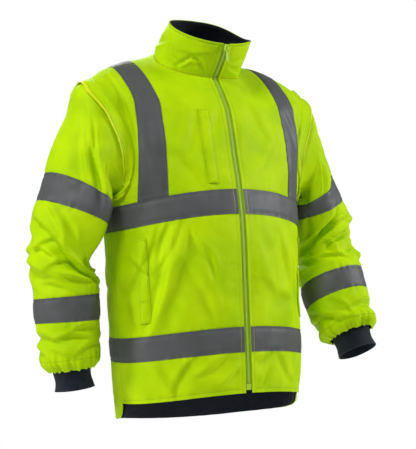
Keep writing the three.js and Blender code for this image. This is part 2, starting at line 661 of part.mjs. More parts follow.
// Knitted cuffs: a tube that starts inside the sleeve's end and widens a little at the hand.
const cuffRings = [
  { at: -10, right: 36.5, left: 40 },
  { at: 0, right: 37, left: 40.5 },
  { at: 18, right: 34.5, left: 38 },
  { at: 38, right: 38.5, left: 41 },
];
const cuffTurns = 20;
function cuffGrid(rings, side) {
  const end = rings[rings.length - 1];
  const lean = end.lean * degree;
  const pitch = end.pitch * degree;
  const axis = new THREE.Vector3(
    side * Math.cos(lean) * Math.cos(pitch),
    -Math.sin(pitch),
    -Math.sin(lean) * Math.cos(pitch),
  );
  const outward = new THREE.Vector3(side, 0, 0).addScaledVector(axis, -side * axis.x).normalize();
  const forward = axis.clone().cross(outward).normalize();
  const lines = cuffRings.map((ring) =>
    Array.from({ length: cuffTurns }, (_, i) => {
      const turn = (i / cuffTurns) * 2 * Math.PI;
      const radius = side < 0 ? ring.right : ring.left;
      const spoke = outward.clone().multiplyScalar(Math.cos(turn)).addScaledVector(forward, Math.sin(turn));
      const centre = new THREE.Vector3(side * end.x, end.y, end.z).addScaledVector(axis, ring.at);
      return { point: centre.addScaledVector(spoke, radius), normal: spoke };
    }),
  );
  return lines;
}
add("cuff_right", wall(cuffGrid(rightSleeveRings, -1), 0, knitWall, true), "navy");
add("cuff_left", wall(cuffGrid(leftSleeveRings, 1), 0, knitWall, true), "navy");

// Welts of the pockets: strips of cloth along the openings, made from the front's own surface.
function strip(pointAt, normalAt, from, to, across, rows, columns) {
  const grid = [];
  for (let row = 0; row <= rows; row += 1) {
    const line = [];
    const height = lerp(from.height, to.height, row / rows);
    const middle = lerp(from.width, to.width, row / rows);
    for (let column = 0; column <= columns; column += 1) {
      const width = middle + across * (column / columns - 0.5);
      const angle = Math.asin(width / between(bodyRings, height).half);
      line.push({ point: pointAt(angle, height), normal: normalAt(angle, height) });
    }
    grid.push(line);
  }
  return grid;
}
const weltLift = 1.1;
const weltWall = 1.6;
const handPocket = { from: { width: 194, height: -498 }, to: { width: 190, height: -330 }, across: 12 };
const chestPocket = { from: { width: 57, height: -243 }, to: { width: 58, height: -100 }, across: 20 };
for (const [side, sign] of [
  ["right", -1],
  ["left", 1],
]) {
  const onFront = (angle, height) => bodyPoint(sign * angle, height);
  const outOfFront = (angle, height) => bodyNormal(sign * angle, height);
  const welt = strip(onFront, outOfFront, handPocket.from, handPocket.to, handPocket.across, 14, 2);
  add(`hand_pocket_welt_${side}`, wall(welt, weltLift + weltWall, weltWall), "shell");
}
const chestWelt = strip(
  (angle, height) => bodyPoint(-angle, height),
  (angle, height) => bodyNormal(-angle, height),
  chestPocket.from,
  chestPocket.to,
  chestPocket.across,
  14,
  2,
);
add("chest_pocket_welt", wall(chestWelt, weltLift + weltWall, weltWall), "shell");

// The front zip: one strip of tape on each side, behind the edges of the fronts, and the closed coil.
const zipTapeLift = -shellWall - 2 * seamGap;
const zipTapeWall = 0.9;
const coilHalf = 3.2;
const coilWall = 1.7;
function zipGrid(widths) {
  const grid = [];
  for (const height of [...lowRows.slice(1), ...zipYokeHeights]) {
    const half = between(bodyRings, height).half;
    grid.push(widths.map((x) => place(Math.asin(x / half), height)));
  }
  for (let row = 0; row <= collarRows; row += 1) {
    const at = lerp(0.012, row === collarRows ? 0.965 : 1, row / collarRows);
    const half = between(collarRings, at).half;
    grid.push(widths.map((x) => collarPlace(Math.asin(x / half), at)));
  }
  return grid;
}
const zipYokeHeights = [];
for (let row = armpitRow; row <= topRow; row += 1) {
  zipYokeHeights.push(panelRow(row, frontWidths, armholeFront)[0].height);
}
add("zip_tape_right", wall(zipGrid([-zipTapeHalf, -zipOpening, -0.2]), zipTapeLift, zipTapeWall), "zip");
add("zip_tape_left", wall(zipGrid([0.2, zipOpening, zipTapeHalf]), zipTapeLift, zipTapeWall), "zip");
add("zip_coil", wall(zipGrid([-coilHalf, 0, coilHalf]), zipTapeLift + seamGap + coilWall, coilWall), "zip");

// The slider at the top of the zip, with a bridge that carries the pull tab
const slider = { at: 0.9, length: 13, width: 9, depth: 4.4, lift: 1 };
const bridge = { inner: 2.3, outer: 3.7, width: 2 };
const pull = { length: 27, width: 7, wall: 1.4, bar: 1.5, window: 6.5, rail: 1.4 };
const sliderPlace = collarPoint(0, slider.at);
const sliderNormal = normalOf(collarPoint, 0, slider.at, 0.5 * degree, 0.01);
const sliderUp = new THREE.Vector3(1, 0, 0).cross(sliderNormal).normalize();
if (sliderUp.z < 0) sliderUp.negate();

// The slider's side view: a body with rounded ends and the arch of the bridge, joined in one outline.
function sliderOutline() {
  const shape = new THREE.Shape();
  const end = slider.length / 2;
  const base = slider.depth;
  shape.moveTo(-end, 0);
  shape.lineTo(end, 0);
  shape.lineTo(end, base - 1);
  shape.lineTo(end - 1, base);
  shape.lineTo(-end + 1, base);
  shape.lineTo(-end, base - 1);
  shape.closePath();
  return shape;
}
function bridgeOutline() {
  const shape = new THREE.Shape();
  const foot = slider.depth + seamGap;
  const rise = foot + 1.2;
  shape.moveTo(-bridge.outer, foot);
  shape.lineTo(-bridge.inner, foot);
  shape.lineTo(-bridge.inner, rise);
  shape.absarc(0, rise, bridge.inner, Math.PI, 0, true);
  shape.lineTo(bridge.inner, foot);
  shape.lineTo(bridge.outer, foot);
  shape.lineTo(bridge.outer, rise);
  shape.absarc(0, rise, bridge.outer, 0, Math.PI, false);
  shape.closePath();
  return shape;
}
function sideExtrusion(shape, width) {
  const geometry = new THREE.ExtrudeGeometry(shape, { depth: width, bevelEnabled: false, curveSegments: 8 });
  geometry.translate(0, 0, -width / 2);
  const frame = new THREE.Matrix4().makeBasis(sliderUp, sliderNormal, sliderUp.clone().cross(sliderNormal));
  geometry.applyMatrix4(frame);
  const seat = sliderPlace.clone().addScaledVector(sliderNormal, slider.lift);
  geometry.translate(seat.x, seat.y, seat.z);
  geometry.deleteAttribute("normal");
  geometry.deleteAttribute("uv");
  return facingOut(mergeVertices(geometry, 1e-4));
}
add("zip_slider", sideExtrusion(sliderOutline(), slider.width), "zip");
add("zip_bridge", sideExtrusion(bridgeOutline(), bridge.width), "zip");

// The pull tab hangs straight down from the bridge.
const hingeRise = slider.lift + slider.depth + seamGap + 1.5;
const hinge = sliderPlace.clone().addScaledVector(sliderNormal, hingeRise);
function pullOutline() {
  const half = pull.width / 2;
  const shape = new THREE.Shape();
  const top = pull.bar / 2;
  const low = top - pull.length;
  shape.moveTo(-half, top);
  shape.lineTo(-half, low + half);
  shape.absarc(0, low + half, half, Math.PI, 2 * Math.PI, false);
  shape.lineTo(half, top);
  shape.closePath();
  const hole = new THREE.Path();
  const inner = half - pull.rail;
  hole.moveTo(-inner, -pull.bar / 2);
  hole.lineTo(inner, -pull.bar / 2);
  hole.lineTo(inner, -pull.bar / 2 - pull.window);
  hole.lineTo(-inner, -pull.bar / 2 - pull.window);
  hole.closePath();
  shape.holes.push(hole);
  return shape;
}
const pullSolid = new THREE.ExtrudeGeometry(pullOutline(), {
  depth: pull.wall,
  bevelEnabled: false,
  curveSegments: 8,
});
pullSolid.translate(0, 0, -pull.wall / 2);
pullSolid.rotateX(Math.PI / 2);
const pullTab = add("zip_pull", pullSolid, "zip");
pullTab.position.copy(hinge);

// The box that holds the zip's lower end
const zipBox = { width: 11, height: 12, depth: 3.4 };
const boxPlace = bodyPoint(0, zipLow - zipBox.height / 2 - seamGap);
const zipBoxSolid = new THREE.BoxGeometry(zipBox.width, zipBox.depth, zipBox.height);
const bottomBox = add("zip_bottom_box", zipBoxSolid, "zip");
bottomBox.position.set(0, boxPlace.y + zipBox.depth / 2 + 0.4, boxPlace.z);

export default jacket;
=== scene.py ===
import math
import bpy
import numpy as np
from mathutils import Matrix, Vector


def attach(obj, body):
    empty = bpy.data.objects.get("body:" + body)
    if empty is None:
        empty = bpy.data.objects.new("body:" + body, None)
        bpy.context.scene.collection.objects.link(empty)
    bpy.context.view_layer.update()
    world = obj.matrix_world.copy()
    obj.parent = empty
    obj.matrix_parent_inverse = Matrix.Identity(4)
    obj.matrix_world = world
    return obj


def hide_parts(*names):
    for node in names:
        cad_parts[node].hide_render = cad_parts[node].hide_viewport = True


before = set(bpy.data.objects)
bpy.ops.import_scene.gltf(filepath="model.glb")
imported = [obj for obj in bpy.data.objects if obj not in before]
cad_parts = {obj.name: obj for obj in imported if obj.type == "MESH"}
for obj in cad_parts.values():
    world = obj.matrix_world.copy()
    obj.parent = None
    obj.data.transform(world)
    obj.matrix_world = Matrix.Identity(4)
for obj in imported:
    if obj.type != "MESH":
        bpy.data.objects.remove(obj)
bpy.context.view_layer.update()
bpy.ops.object.select_all(action="DESELECT")
print("frame loaded:", len(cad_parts), "nodes")


# A table's rows as dictionaries, by the names of its columns
def rowsOf(names, *rows):
    return [dict(zip(names.split(), row)) for row in rows]


# The forms of the body and sleeves, in millimetres: at is the height on the body, or the place along a sleeve
bodyRings = rowsOf(
    "at side rear half front back ridge fullFront fullBack",
    (-745, -720, -757, 200, 172, 117, -18, 0, 0.05),
    (-662, -682, -667, 204, 170, 119, -16, 0, 0.05),
    (-575, -597, -584, 208, 166, 123, -12, 0, 0.05),
    (-460, -487, -476, 213, 159, 129, -7, 0, 0.05),
    (-360, -394, -382, 216, 152, 135, -1, 0, 0.05),
    (-300, -337, -325, 219, 143, 140, 3, 0, 0.05),
    (-240, -277, -262, 225, 128, 143, 6, 0, 0.05),
    (-185, -200, -190, 247, 109, 141, 11, 0, 0),
    (-150, -140, -140, 260, 98, 135, 16, -0.05, -0.05),
    (-120, -92, -95, 266, 87, 126, 21, -0.12, -0.12),
    (-98, -57, -60, 263, 78, 115, 26, -0.14, -0.16),
    (-85, -35, -35, 236, 72, 108, 29, -0.2, -0.16),
    (-70, -16, -8, 193, 64, 103, 31, -0.2, -0.12),
    (-52, -4, 17, 140, 54, 98, 29, -0.1, -0.05),
    (-32, 3, 37, 93, 42, 92, 25, 0, 0),
    (-12, 10, 50, 70, 30, 86, 25, 0, 0),
)

collarRings = rowsOf(
    "at side rear frontZ half front back ridge",
    (0, 3, 37, -32, 93, 42, 92, 25),
    (0.3, 22, 53, -13, 95, 56, 80, 12),
    (0.65, 44, 72, 10, 94, 71, 58, -7),
    (1, 64, 90, 33, 90, 82, 35, -23),
)

rightSleeveRings = rowsOf(
    "at x y z lean pitch up deep twist egg",
    (0, 217, 17, -164, 2, 0, 96, 51, 0, 0.25),
    (26, 241, 17, -166, 6, 0, 101, 59, 0, 0.23),
    (50, 259, 18, -171, 9, 0, 104, 65, 0, 0.2),
    (76, 268, 19, -190, 16, 0, 87, 71, 4, 0.14),
    (106, 277, 17, -218, 34, 0, 69, 74, 9, 0.06),
    (138, 283, 15, -248, 52, 0, 60, 76, 14, 0),
    (172, 290, 14, -279, 65, 0, 57, 74, 17, 0),
    (222, 307, 17, -327, 69, -2, 61, 71, 14, 0),
    (282, 323, 22, -385, 75, 0, 56, 65, 8, 0),
    (338, 309, 20, -440, 94, 4, 61, 66, 4, 0),
    (387, 309, 17, -489, 91, 4, 60, 64, 4, 0),
    (449, 307, 12, -550, 94, 4, 58, 60, 4, 0),
    (487, 304, 10, -590, 95, 4, 54, 56, 4, 0),
    (502, 302, 9, -605, 97, 4, 42, 44, 4, 0),
)

leftSleeveRings = rowsOf(
    "at x y z lean pitch up deep twist egg",
    (0, 217, 17, -164, 2, 0, 96, 51, 0, 0.25),
    (26, 241, 17, -166, 6, 0, 101, 59, 0, 0.23),
    (50, 258, 18, -171, 9, 0, 103, 65, 0, 0.2),
    (76, 265, 20, -190, 14, 0, 87, 71, 4, 0.14),
    (106, 275, 18, -218, 33, 0, 68, 74, 9, 0.06),
    (136, 284, 14, -246, 53, 0, 61, 76, 14, 0),
    (166, 293, 11, -270, 66, 2, 63, 74, 16, 0),
    (213, 310, 8, -315, 70, 6, 67, 70, 12, 0),
    (265, 319, 3, -365, 75, 14, 66, 68, 8, 0),
    (318, 314, -15, -413, 82, 24, 67, 70, 4, 0),
    (374, 309, -41, -464, 84, 27, 69, 70, 2, 0),
    (431, 310, -66, -513, 84, 27, 68, 68, 2, 0),
    (467, 314, -82, -545, 84, 27, 63, 64, 2, 0),
    (482, 316, -89, -557, 84, 27, 47, 49, 2, 0),
)

flapShape = rowsOf(
    "reach fall",
    (8, 42),
    (13, 42),
    (20, 40),
    (25, 38),
    (28, 36),
    (30, 34),
    (31, 33),
    (31, 32),
    (30, 31),
    (29, 30),
    (28, 29),
)
sleeveTapes = {-1: [(149, 198), (363, 412)], 1: [(141, 190), (350, 399)]}
body = {
    "hem": -653,
    "armpit": -240,
    "shoulder": -90,
    "neck": -32,
    "neckHalf": 93,
    "edgeTurn": 0.06,
    "cutFront": 36,
    "cutBack": 33,
    "cutSquare": 0.78,
    "tailDrop": 67,
    "tailLean": 9,
    "tailCorner": 11,
    "tailWrap": 30,
    "tailLeft": ([60, 72, 82, 91, 99, 107, 114, 120], [1, 0.97, 0.89, 0.76, 0.58, 0.36, 0.13, 0]),
    "wall": 2,
}
tape = {
    "width": 49,
    "chestTop": -256,
    "hemTop": -524.5,
    "braceInner": 146,
    "braceOuter": 195,
    "lift": 1.1,
    "wall": 0.8,
}
collarHeight = 97


def columnsOf(rows):
    return {key: np.array([row[key] for row in rows], float) for key in rows[0]}


bodyTable = columnsOf(bodyRings)
collarTable = columnsOf(collarRings)
sleeveTables = {-1: columnsOf(rightSleeveRings), 1: columnsOf(leftSleeveRings)}


# The rows of a table at places between them, each column on a smooth curve
def between(table, at):
    places = table["at"]
    last = len(places) - 1
    at = np.asarray(at, float)
    i = np.clip(np.searchsorted(places, at, side="left") - 1, 0, last - 1)
    span = places[i + 1] - places[i]
    t = np.clip((at - places[i]) / span, 0, 1)
    made = {}
    for key, values in table.items():
        if key == "at":
            continue
        slopes = np.empty(last + 1)
        slopes[1:-1] = (values[2:] - values[:-2]) / (places[2:] - places[:-2])
        slopes[0] = (values[1] - values[0]) / (places[1] - places[0])
        slopes[-1] = (values[-1] - values[-2]) / (places[-1] - places[-2])
        made[key] = (
            (2 * t**3 - 3 * t**2 + 1) * values[i]
            + (t**3 - 2 * t**2 + t) * span * slopes[i]
            + (3 * t**2 - 2 * t**3) * values[i + 1]
            + (t**3 - t**2) * span * slopes[i + 1]
        )
    return made


# Angle 0 is the front centre and 90 degrees the wearer's left
def ringPoint(ring, angle, frontZ):
    c, s = np.cos(angle), np.sin(angle)
    rise = frontZ - ring["side"]
    rearRise = ring["rear"] - ring["side"]
    full = 1 + np.where(c > 0, ring.get("fullFront", 0), ring.get("fullBack", 0)) * s * s
    depth = np.where(c > 0, ring["front"] + ring["ridge"], ring["back"] - ring["ridge"])
    return np.stack(
        [
            ring["half"] * s,
            ring["ridge"] - depth * c * full,
            ring["side"] + (rise - rearRise) / 2 * c + (rise + rearRise) / 2 * c * c,
        ],
        -1,
    )


# The zip line sways a little from side to side
sway = {"height": [-682, -418, -337, -256, -175, -135, -94, -60, -32], "shift": [-8, -9, -8, -5, 0, 3, 6, 3, 0]}
# The shoulders sink beside the neck
sinks = rowsOf("at wide depth", (-108, 36, 3.5), (92, 34, 13))


def shoulderSink(x, share):
    return -sum(sink["depth"] * np.exp(-(((x - sink["at"]) / sink["wide"]) ** 2)) for sink in sinks) * share


def plainBody(angle, height):
    points = ringPoint(between(bodyTable, height), angle, height)
    shift = np.interp(height, sway["height"], sway["shift"]) * np.maximum(np.cos(angle), 0) ** 1.5
    sink = shoulderSink(points[..., 0], np.clip((height + 88) / 30, 0, 1))
    return points + np.stack([shift, 0 * sink, sink], -1)


# The collar sinks a little at the wearer's left
def plainCollar(angle, at):
    ring = between(collarTable, at)
    turned = (np.degrees(angle) + 180) % 360 - 180
    sunk = np.exp(-(((turned - 100) / 36) ** 2)) * np.clip(at, 0, 1) ** 2
    tip = np.exp(-(((turned - 68) / 22) ** 2)) * np.clip(at, 0, 1) ** 2
    raised = np.exp(-(((turned + 112) / 42) ** 2)) * np.clip(at, 0, 1) ** 2
    points = ringPoint(ring, angle, ring["frontZ"])
    sink = shoulderSink(points[..., 0], np.clip(1 - at * 2.2, 0, 1))
    return points + np.stack([4.5 * tip + 0 * sink, 0 * sink, sink - 12 * sunk + 4 * raised], -1)


def unit(v):
    return v / np.maximum(np.linalg.norm(v, axis=-1, keepdims=True), 1e-9)


def normalsOf(pointAt, u, v, du, dv):
    across = pointAt(u + du, v) - pointAt(u - du, v)
    along = pointAt(u, v + dv) - pointAt(u, v - dv)
    return unit(np.cross(across, along))


def bodyNormals(angle, height):
    return normalsOf(plainBody, angle, height, math.radians(0.5), 1)


def collarNormals(angle, at):
    return normalsOf(plainCollar, angle, at, math.radians(0.5), 0.01)


def sleeveNormals(side, turn, at):
    return normalsOf(lambda u, v: plainSleeve(side, u, v), turn, at, math.radians(0.5), 1) * side


# A point of a sleeve: turn 0 is the outer side and 90 degrees the front
def plainSleeve(side, turn, at):
    ring = between(sleeveTables[side], at)
    lean, pitch, twist = (np.radians(ring[key]) for key in ("lean", "pitch", "twist"))
    flat = np.zeros_like(lean + turn)
    lean, pitch, twist = lean + flat, pitch + flat, twist + flat
    axis = np.stack([side * np.cos(lean) * np.cos(pitch), -np.sin(pitch), -np.sin(lean) * np.cos(pitch)], -1)
    up = np.stack([side * np.sin(lean), flat, np.cos(lean)], -1)
    forward = unit(np.cross(axis, up)) * side
    forward = np.where(forward[..., 1:2] > 0, -forward, forward)
    outward = unit(np.cross(forward, axis))
    leaning = (ring["lean"] > 20) + (flat > 1)
    wrong = np.where(leaning, outward[..., 0] * side < 0, outward[..., 2] < 0)
    outward = np.where(wrong[..., None], -outward, outward)
    forward = forward * np.cos(twist)[..., None] - outward * np.sin(twist)[..., None]
    centre = np.stack([side * ring["x"] + flat, ring["y"] + flat, ring["z"] + flat], -1)
    return (
        centre
        + outward * (ring["up"] * np.cos(turn) + flat)[..., None]
        + forward * (ring["deep"] * np.sin(turn) * (1 - ring["egg"] * np.cos(turn)) + flat)[..., None]
    )


# A fold is a broad ridge, or a trough where its depth is negative
def foldHeight(folds, u, v):
    total = np.zeros_like(u + v)
    for fold in folds:
        turn = math.radians(fold["slant"])
        du, dv = u - fold["u"], v - fold["v"]
        along = du * math.cos(turn) + dv * math.sin(turn)
        across = dv * math.cos(turn) - du * math.sin(turn)
        total = total + fold["depth"] * np.exp(-((across / fold["width"]) ** 2) - (2 * along / fold["length"]) ** 4)
    return total


# A crease is a trough under a sharp lip, steep on one side, or the other way round where its depth is positive
def creaseHeight(creases, u, v, steep=1):
    total = np.zeros_like(u + v)
    for crease in creases:
        turn = math.radians(crease["slant"])
        du, dv = u - crease["u"], v - crease["v"]
        along = 2 * (du * math.cos(turn) + dv * math.sin(turn)) / crease["length"]
        across = dv * math.cos(turn) - du * math.sin(turn) - crease.get("bend", 0) * along**2
        reach = np.clip(1 - along**2 / 1.9, 0, 1) ** 2
        x = steep * across / (crease["width"] * (0.55 + 0.45 * reach))
        lips = np.exp(-(((x + 1.35) / 0.75) ** 2)) + 0.4 * np.exp(-(((x - 3) / 1.4) ** 2))
        trough = np.exp(-((x / np.where(x < 0, 0.6, 1.5)) ** 2))
        total = total + crease["depth"] * reach * (trough - crease.get("ridge", 0.5) * lips)
    return total


# Soft unevenness of filled cloth, the same on each run
def unevenness(u, v, size, seed):
    pick = np.random.default_rng(seed)
    total = np.zeros_like(u + v)
    for _ in range(7):
        turn = pick.uniform(0, 2 * math.pi)
        wave = size * pick.uniform(0.7, 1.7)
        shift = pick.uniform(0, 2 * math.pi)
        drift = 0.8 * np.sin(2 * math.pi * (u * math.sin(turn) - v * math.cos(turn)) / (2.3 * wave) + 2 * shift)
        total = total + np.sin(2 * math.pi * (u * math.cos(turn) + v * math.sin(turn)) / wave + shift + drift)
    return total / 7


# Small gathers that a line of stitches pulls into the cloth beside it
def puckers(along, away, height, seed):
    wave = np.sin(2 * math.pi * along / 19 + seed + 1.5 * np.sin(2 * math.pi * along / 83 + 2 * seed))
    wave = 0.6 * wave + 0.4 * np.sin(2 * math.pi * along / 31 + 3 * seed)
    swell = 0.6 + 0.4 * np.sin(2 * math.pi * along / 171 + 5 * seed)
    return height * wave * swell * np.exp(-np.abs(away) / 15)


def groove(away, depth, width):
    return -depth * np.exp(-((away / width) ** 2))


def softFloor(height, deepest):
    return np.where(height < 0, -deepest * np.tanh(-height / deepest), height)


frontFolds = rowsOf(
    "u v length width slant depth",
    (150, -190, 90, 24, 72, 4),
    (62, -420, 200, 34, 62, 4),
    (128, -440, 230, 26, 80, 5),
    (168, -410, 180, 20, 95, -4),
    (80, -600, 120, 26, 55, 3),
    (190, -560, 150, 24, 98, 4),
)
backFolds = rowsOf(
    "u v length width slant depth",
    (0, -150, 300, 30, 0, -3),
    (90, -330, 220, 32, 66, 5),
    (-90, -330, 220, 32, 114, 5),
    (40, -560, 240, 34, 84, 5),
    (-50, -580, 220, 34, 97, 5),
    (165, -520, 260, 28, 88, 4),
    (-165, -500, 260, 28, 92, 4),
)
sleeveFolds = rowsOf(
    "u v length width slant depth",
    (45, 122, 120, 22, 68, -5),
    (96, 144, 110, 20, 80, 5),
    (20, 232, 120, 20, 24, 5),
    (40, 276, 170, 20, 34, -8),
    (10, 312, 110, 20, 16, 6),
    (170, 288, 130, 24, -10, -6),
    (215, 261, 110, 24, -24, 5),
    (260, 326, 150, 24, 20, 5),
    (330, 276, 150, 24, -18, -5),
    (60, 438, 130, 20, 8, -5),
    (290, 444, 150, 20, -8, -5),
)

# Creases as in the photo: u across the front from its centre line, v the height, in millimetres
frontCreases = rowsOf(
    "u v length width slant depth bend",
    (-205, -139, 120, 9, -72, -4, 6),
    (-199, -190, 110, 8, -84, -3, -4),
    (-160, -446, 170, 9, 78, 4.5, 5),
    (-177, -357, 80, 8, 70, -2.6, 4),
    (-163, -350, 90, 8, 76, -2.6, -5),
    (-140, -352, 100, 9, 66, -2.2, 6),
    (-101, -364, 70, 9, -62, -2.4, 5),
    (-73, -394, 70, 7, -74, -2.4, -7),
    (-125, -405, 170, 15, 73, -3, 8),
    (-92, -460, 150, 16, -66, -2.4, -8),
    (-208, -477, 90, 8, -83, -3, 4),
    (-201, -420, 70, 7, 75, -2.4, 3),
    (-197, -388, 60, 6, -60, -2.2, 4),
    (-167, -612, 80, 12, -65, 2.6, 4),
    (-130, -606, 90, 10, 60, -2.4, -5),
    (-69, -599, 90, 11, 32, -2.8, 7),
    (-35, -618, 60, 7, 40, -1.8, 3),
    (-30, -560, 50, 7, 30, -1.4, 3),
    (-104, -212, 110, 16, -50, -2.2, -8),
    (-88, -150, 100, 14, 72, -1.6, 6),
    (-30, -118, 80, 10, 58, -1.4, 4),
    (52, -415, 120, 22, -67, 3, 8),
    (79, -463, 90, 14, -22, -2.6, 8),
    (112, -395, 130, 13, -72, -2.6, 6),
    (150, -450, 140, 12, -80, -3, -5),
    (34, -591, 80, 9, 22, -2.4, 5),
    (96, -607, 90, 11, -48, -2.6, 6),
    (150, -612, 80, 10, 70, -2.4, 4),
    (40, -628, 56, 6, 60, -1.6, 3),
    (196, -360, 100, 9, 80, -2.8, 5),
    (172, -130, 90, 9, -66, -2.8, -5),
    (203, -168, 110, 8, 80, -3.2, 5),
    (92, -202, 110, 15, 48, -2, 8),
    (70, -120, 110, 14, -66, -1.6, 6),
)
backCreases = rowsOf(
    "u v length width slant depth bend",
    (-150, -190, 140, 11, 60, -3.2, 8),
    (148, -205, 130, 11, -62, -3.2, -8),
    (-196, -170, 120, 9, 76, -3, 5),
    (194, -150, 120, 9, -78, -3, -5),
    (-20, -112, 210, 12, 4, -2.6, 8),
    (35, -150, 170, 12, -6, -2.2, -6),
    (-96, -226, 110, 11, 34, -2.4, 6),
    (84, -222, 120, 11, -38, -2.4, 6),
    (-170, -372, 140, 11, 64, -3.4, 7),
    (168, -390, 150, 11, -60, -3.4, 7),
    (-120, -440, 170, 13, 74, -3.2, -8),
    (112, -430, 160, 13, -77, -3.2, 8),
    (10, -400, 210, 16, 84, -2.6, 10),
    (-60, -372, 110, 10, -52, -2.4, 5),
    (64, -486, 110, 10, 50, -2.4, 5),
    (-40, -488, 100, 9, -44, -2.2, 5),
    (-150, -618, 100, 11, 70, -3, 5),
    (142, -625, 100, 11, -72, -3, 5),
    (0, -640, 120, 12, 86, -2.6, 5),
    (-86, -650, 110, 11, 98, -2.6, 5),
    (80, -655, 110, 11, 80, -2.6, -5),
)
# On a sleeve u runs round from the outer side by way of the front, v down from the armhole
sleeveCreases = {
    -1: rowsOf(
        "u v length width slant depth bend ridge",
        (60, 96, 110, 8, 52, -3.4, 5),
        (70, 128, 120, 8, 74, 4.5, 4, 0),
        (86, 134, 130, 10, 76, -7, 5, 0.45),
        (44, 124, 90, 8, 77, -3, 4),
        (100, 62, 80, 10, -51, 3, 5),
        (124, 92, 80, 9, 80, -3, 5),
        (31, 232, 90, 8, 46, -4.4, 6),
        (7, 247, 80, 8, 29, -4.2, 6),
        (60, 230, 70, 8, 40, -3.2, 5),
        (84, 300, 180, 8, 36, -8, -9, 0.65),
        (19, 274, 60, 7, -37, -4, 3),
        (28, 291, 66, 7, 18, -4.6, 5),
        (58, 304, 66, 7, -12, -4.4, 5),
        (5, 317, 120, 8, 17, -5, 5),
        (44, 343, 66, 7, 19, -3.8, 4),
        (82, 334, 96, 8, 16, -4.6, -5),
        (140, 305, 80, 9, 50, -5, 4),
        (4, 440, 100, 8, 14, -4, 5),
        (71, 444, 90, 8, 2, -4.2, 6),
        (98, 426, 70, 7, -8, -3, 4),
        (108, 463, 66, 7, -15, -3.2, 4),
        (40, 470, 70, 7, 20, -2.8, 4),
    ),
    1: rowsOf(
        "u v length width slant depth bend ridge",
        (146, 244, 190, 8, 34, -7.5, -8, 0.6),
        (112, 224, 150, 9, 17, -6, 12, 0.5),
        (132, 240, 80, 11, 26, 4.5, 4, 0),
        (93, 260, 80, 8, 19, -5, 5),
        (124, 284, 66, 7, -70, -4, 4),
        (128, 314, 104, 8, -17, -5, 6),
        (167, 334, 80, 8, -2, -3.6, 5),
        (60, 300, 90, 9, 24, -4, 6),
        (36, 246, 80, 9, -24, -4, 5),
        (182, 438, 90, 8, -38, -3.8, 5),
        (147, 462, 66, 7, -1, -3.2, 4),
        (141, 428, 66, 7, -49, -2.8, 4),
        (78, 436, 90, 9, 4, -5.5, 4),
        (66, 99, 60, 8, -67, -3.4, 4),
        (38, 114, 80, 8, -62, -3.2, 4),
        (98, 112, 80, 8, 80, -3.6, -4),
        (164, 214, 70, 8, 82, -4, 5),
        (30, 330, 90, 8, -20, -4, 5),
    ),
}
hiddenCreases = rowsOf(
    "u v length width slant depth bend",
    (160, 120, 110, 9, 100, -4, 5),
    (225, 112, 120, 9, 84, -4.6, 5),
    (290, 120, 110, 9, 70, -4, -5),
    (352, 118, 100, 9, 98, -3.6, 4),
    (238, 244, 100, 9, -32, -4.4, 6),
    (302, 236, 100, 9, 28, -3.8, 6),
    (206, 296, 150, 9, -20, -6, 8),
    (272, 306, 110, 9, 17, -5, 6),
    (334, 300, 130, 9, -16, -5.2, 7),
    (366, 262, 80, 8, 30, -3.8, 4),
    (226, 342, 90, 8, -10, -4, 4),
    (300, 346, 100, 8, 9, -3.8, 5),
    (206, 440, 110, 8, -8, -4, 5),
    (262, 452, 90, 8, 11, -4.2, 5),
    (322, 442, 110, 8, -7, -4.2, 5),
    (372, 462, 70, 7, 13, -3.2, 4),
)
# On the collar u is 1.55 for each degree round, v the height on it
collarCreases = rowsOf(
    "u v length width slant depth bend",
    (-117, 45, 60, 5, -48, -2.8, 4),
    (-93, 22, 44, 4.5, -40, -3, -3),
    (-73, 27, 44, 4.5, 54, -3, 3),
    (-54, 41, 34, 5, 4, -3.2, -4),
    (-36, 25, 56, 5, -54, -3.2, -3),
    (-62, 58, 70, 7, 14, 2, 4),
    (56, 44, 80, 6, 8, -2.4, 5),
    (50, 20, 70, 6, -16, -2.2, 4),
    (120, 36, 90, 7, 30, -2.4, 6),
    (170, 52, 100, 7, -24, -2.4, 6),
    (-170, 40, 100, 7, 22, -2.4, 6),
    (225, 30, 100, 7, 12, -2.4, 5),
    (-225, 56, 100, 7, -14, -2.4, 5),
    (272, 44, 90, 7, -28, -2.2, 5),
)


seams = {
    "tapeStitch": 3.2,
    "zipStitch": 15.5,
    "hemStitch": 8,
    "collarStitch": 6,
    "dip": 1.5,
    "dipWidth": 4.5,
    "pucker": 1.1,
}
tapeHeights = [tape["chestTop"], tape["chestTop"] - tape["width"], tape["hemTop"], tape["hemTop"] - tape["width"]]
stitchHeights = [h + seams["tapeStitch"] * (-1) ** (i + 1) for i, h in enumerate(tapeHeights)]
braceStitches = [tape["braceInner"] + seams["tapeStitch"], tape["braceOuter"] - seams["tapeStitch"]]
sleeveStitches = {
    side: [line for low, high in tapes for line in (low + seams["tapeStitch"], high - seams["tapeStitch"])]
    for side, tapes in sleeveTapes.items()
}
relief = {"bodyCreases": 1.9, "sleeveCreases": 1.6, "backDeepest": 4.6}
# The wearer's left sleeve rests against the body below the elbow
rest = {"out": 8, "u": 196, "wide": 50, "at": 294, "long": 66}


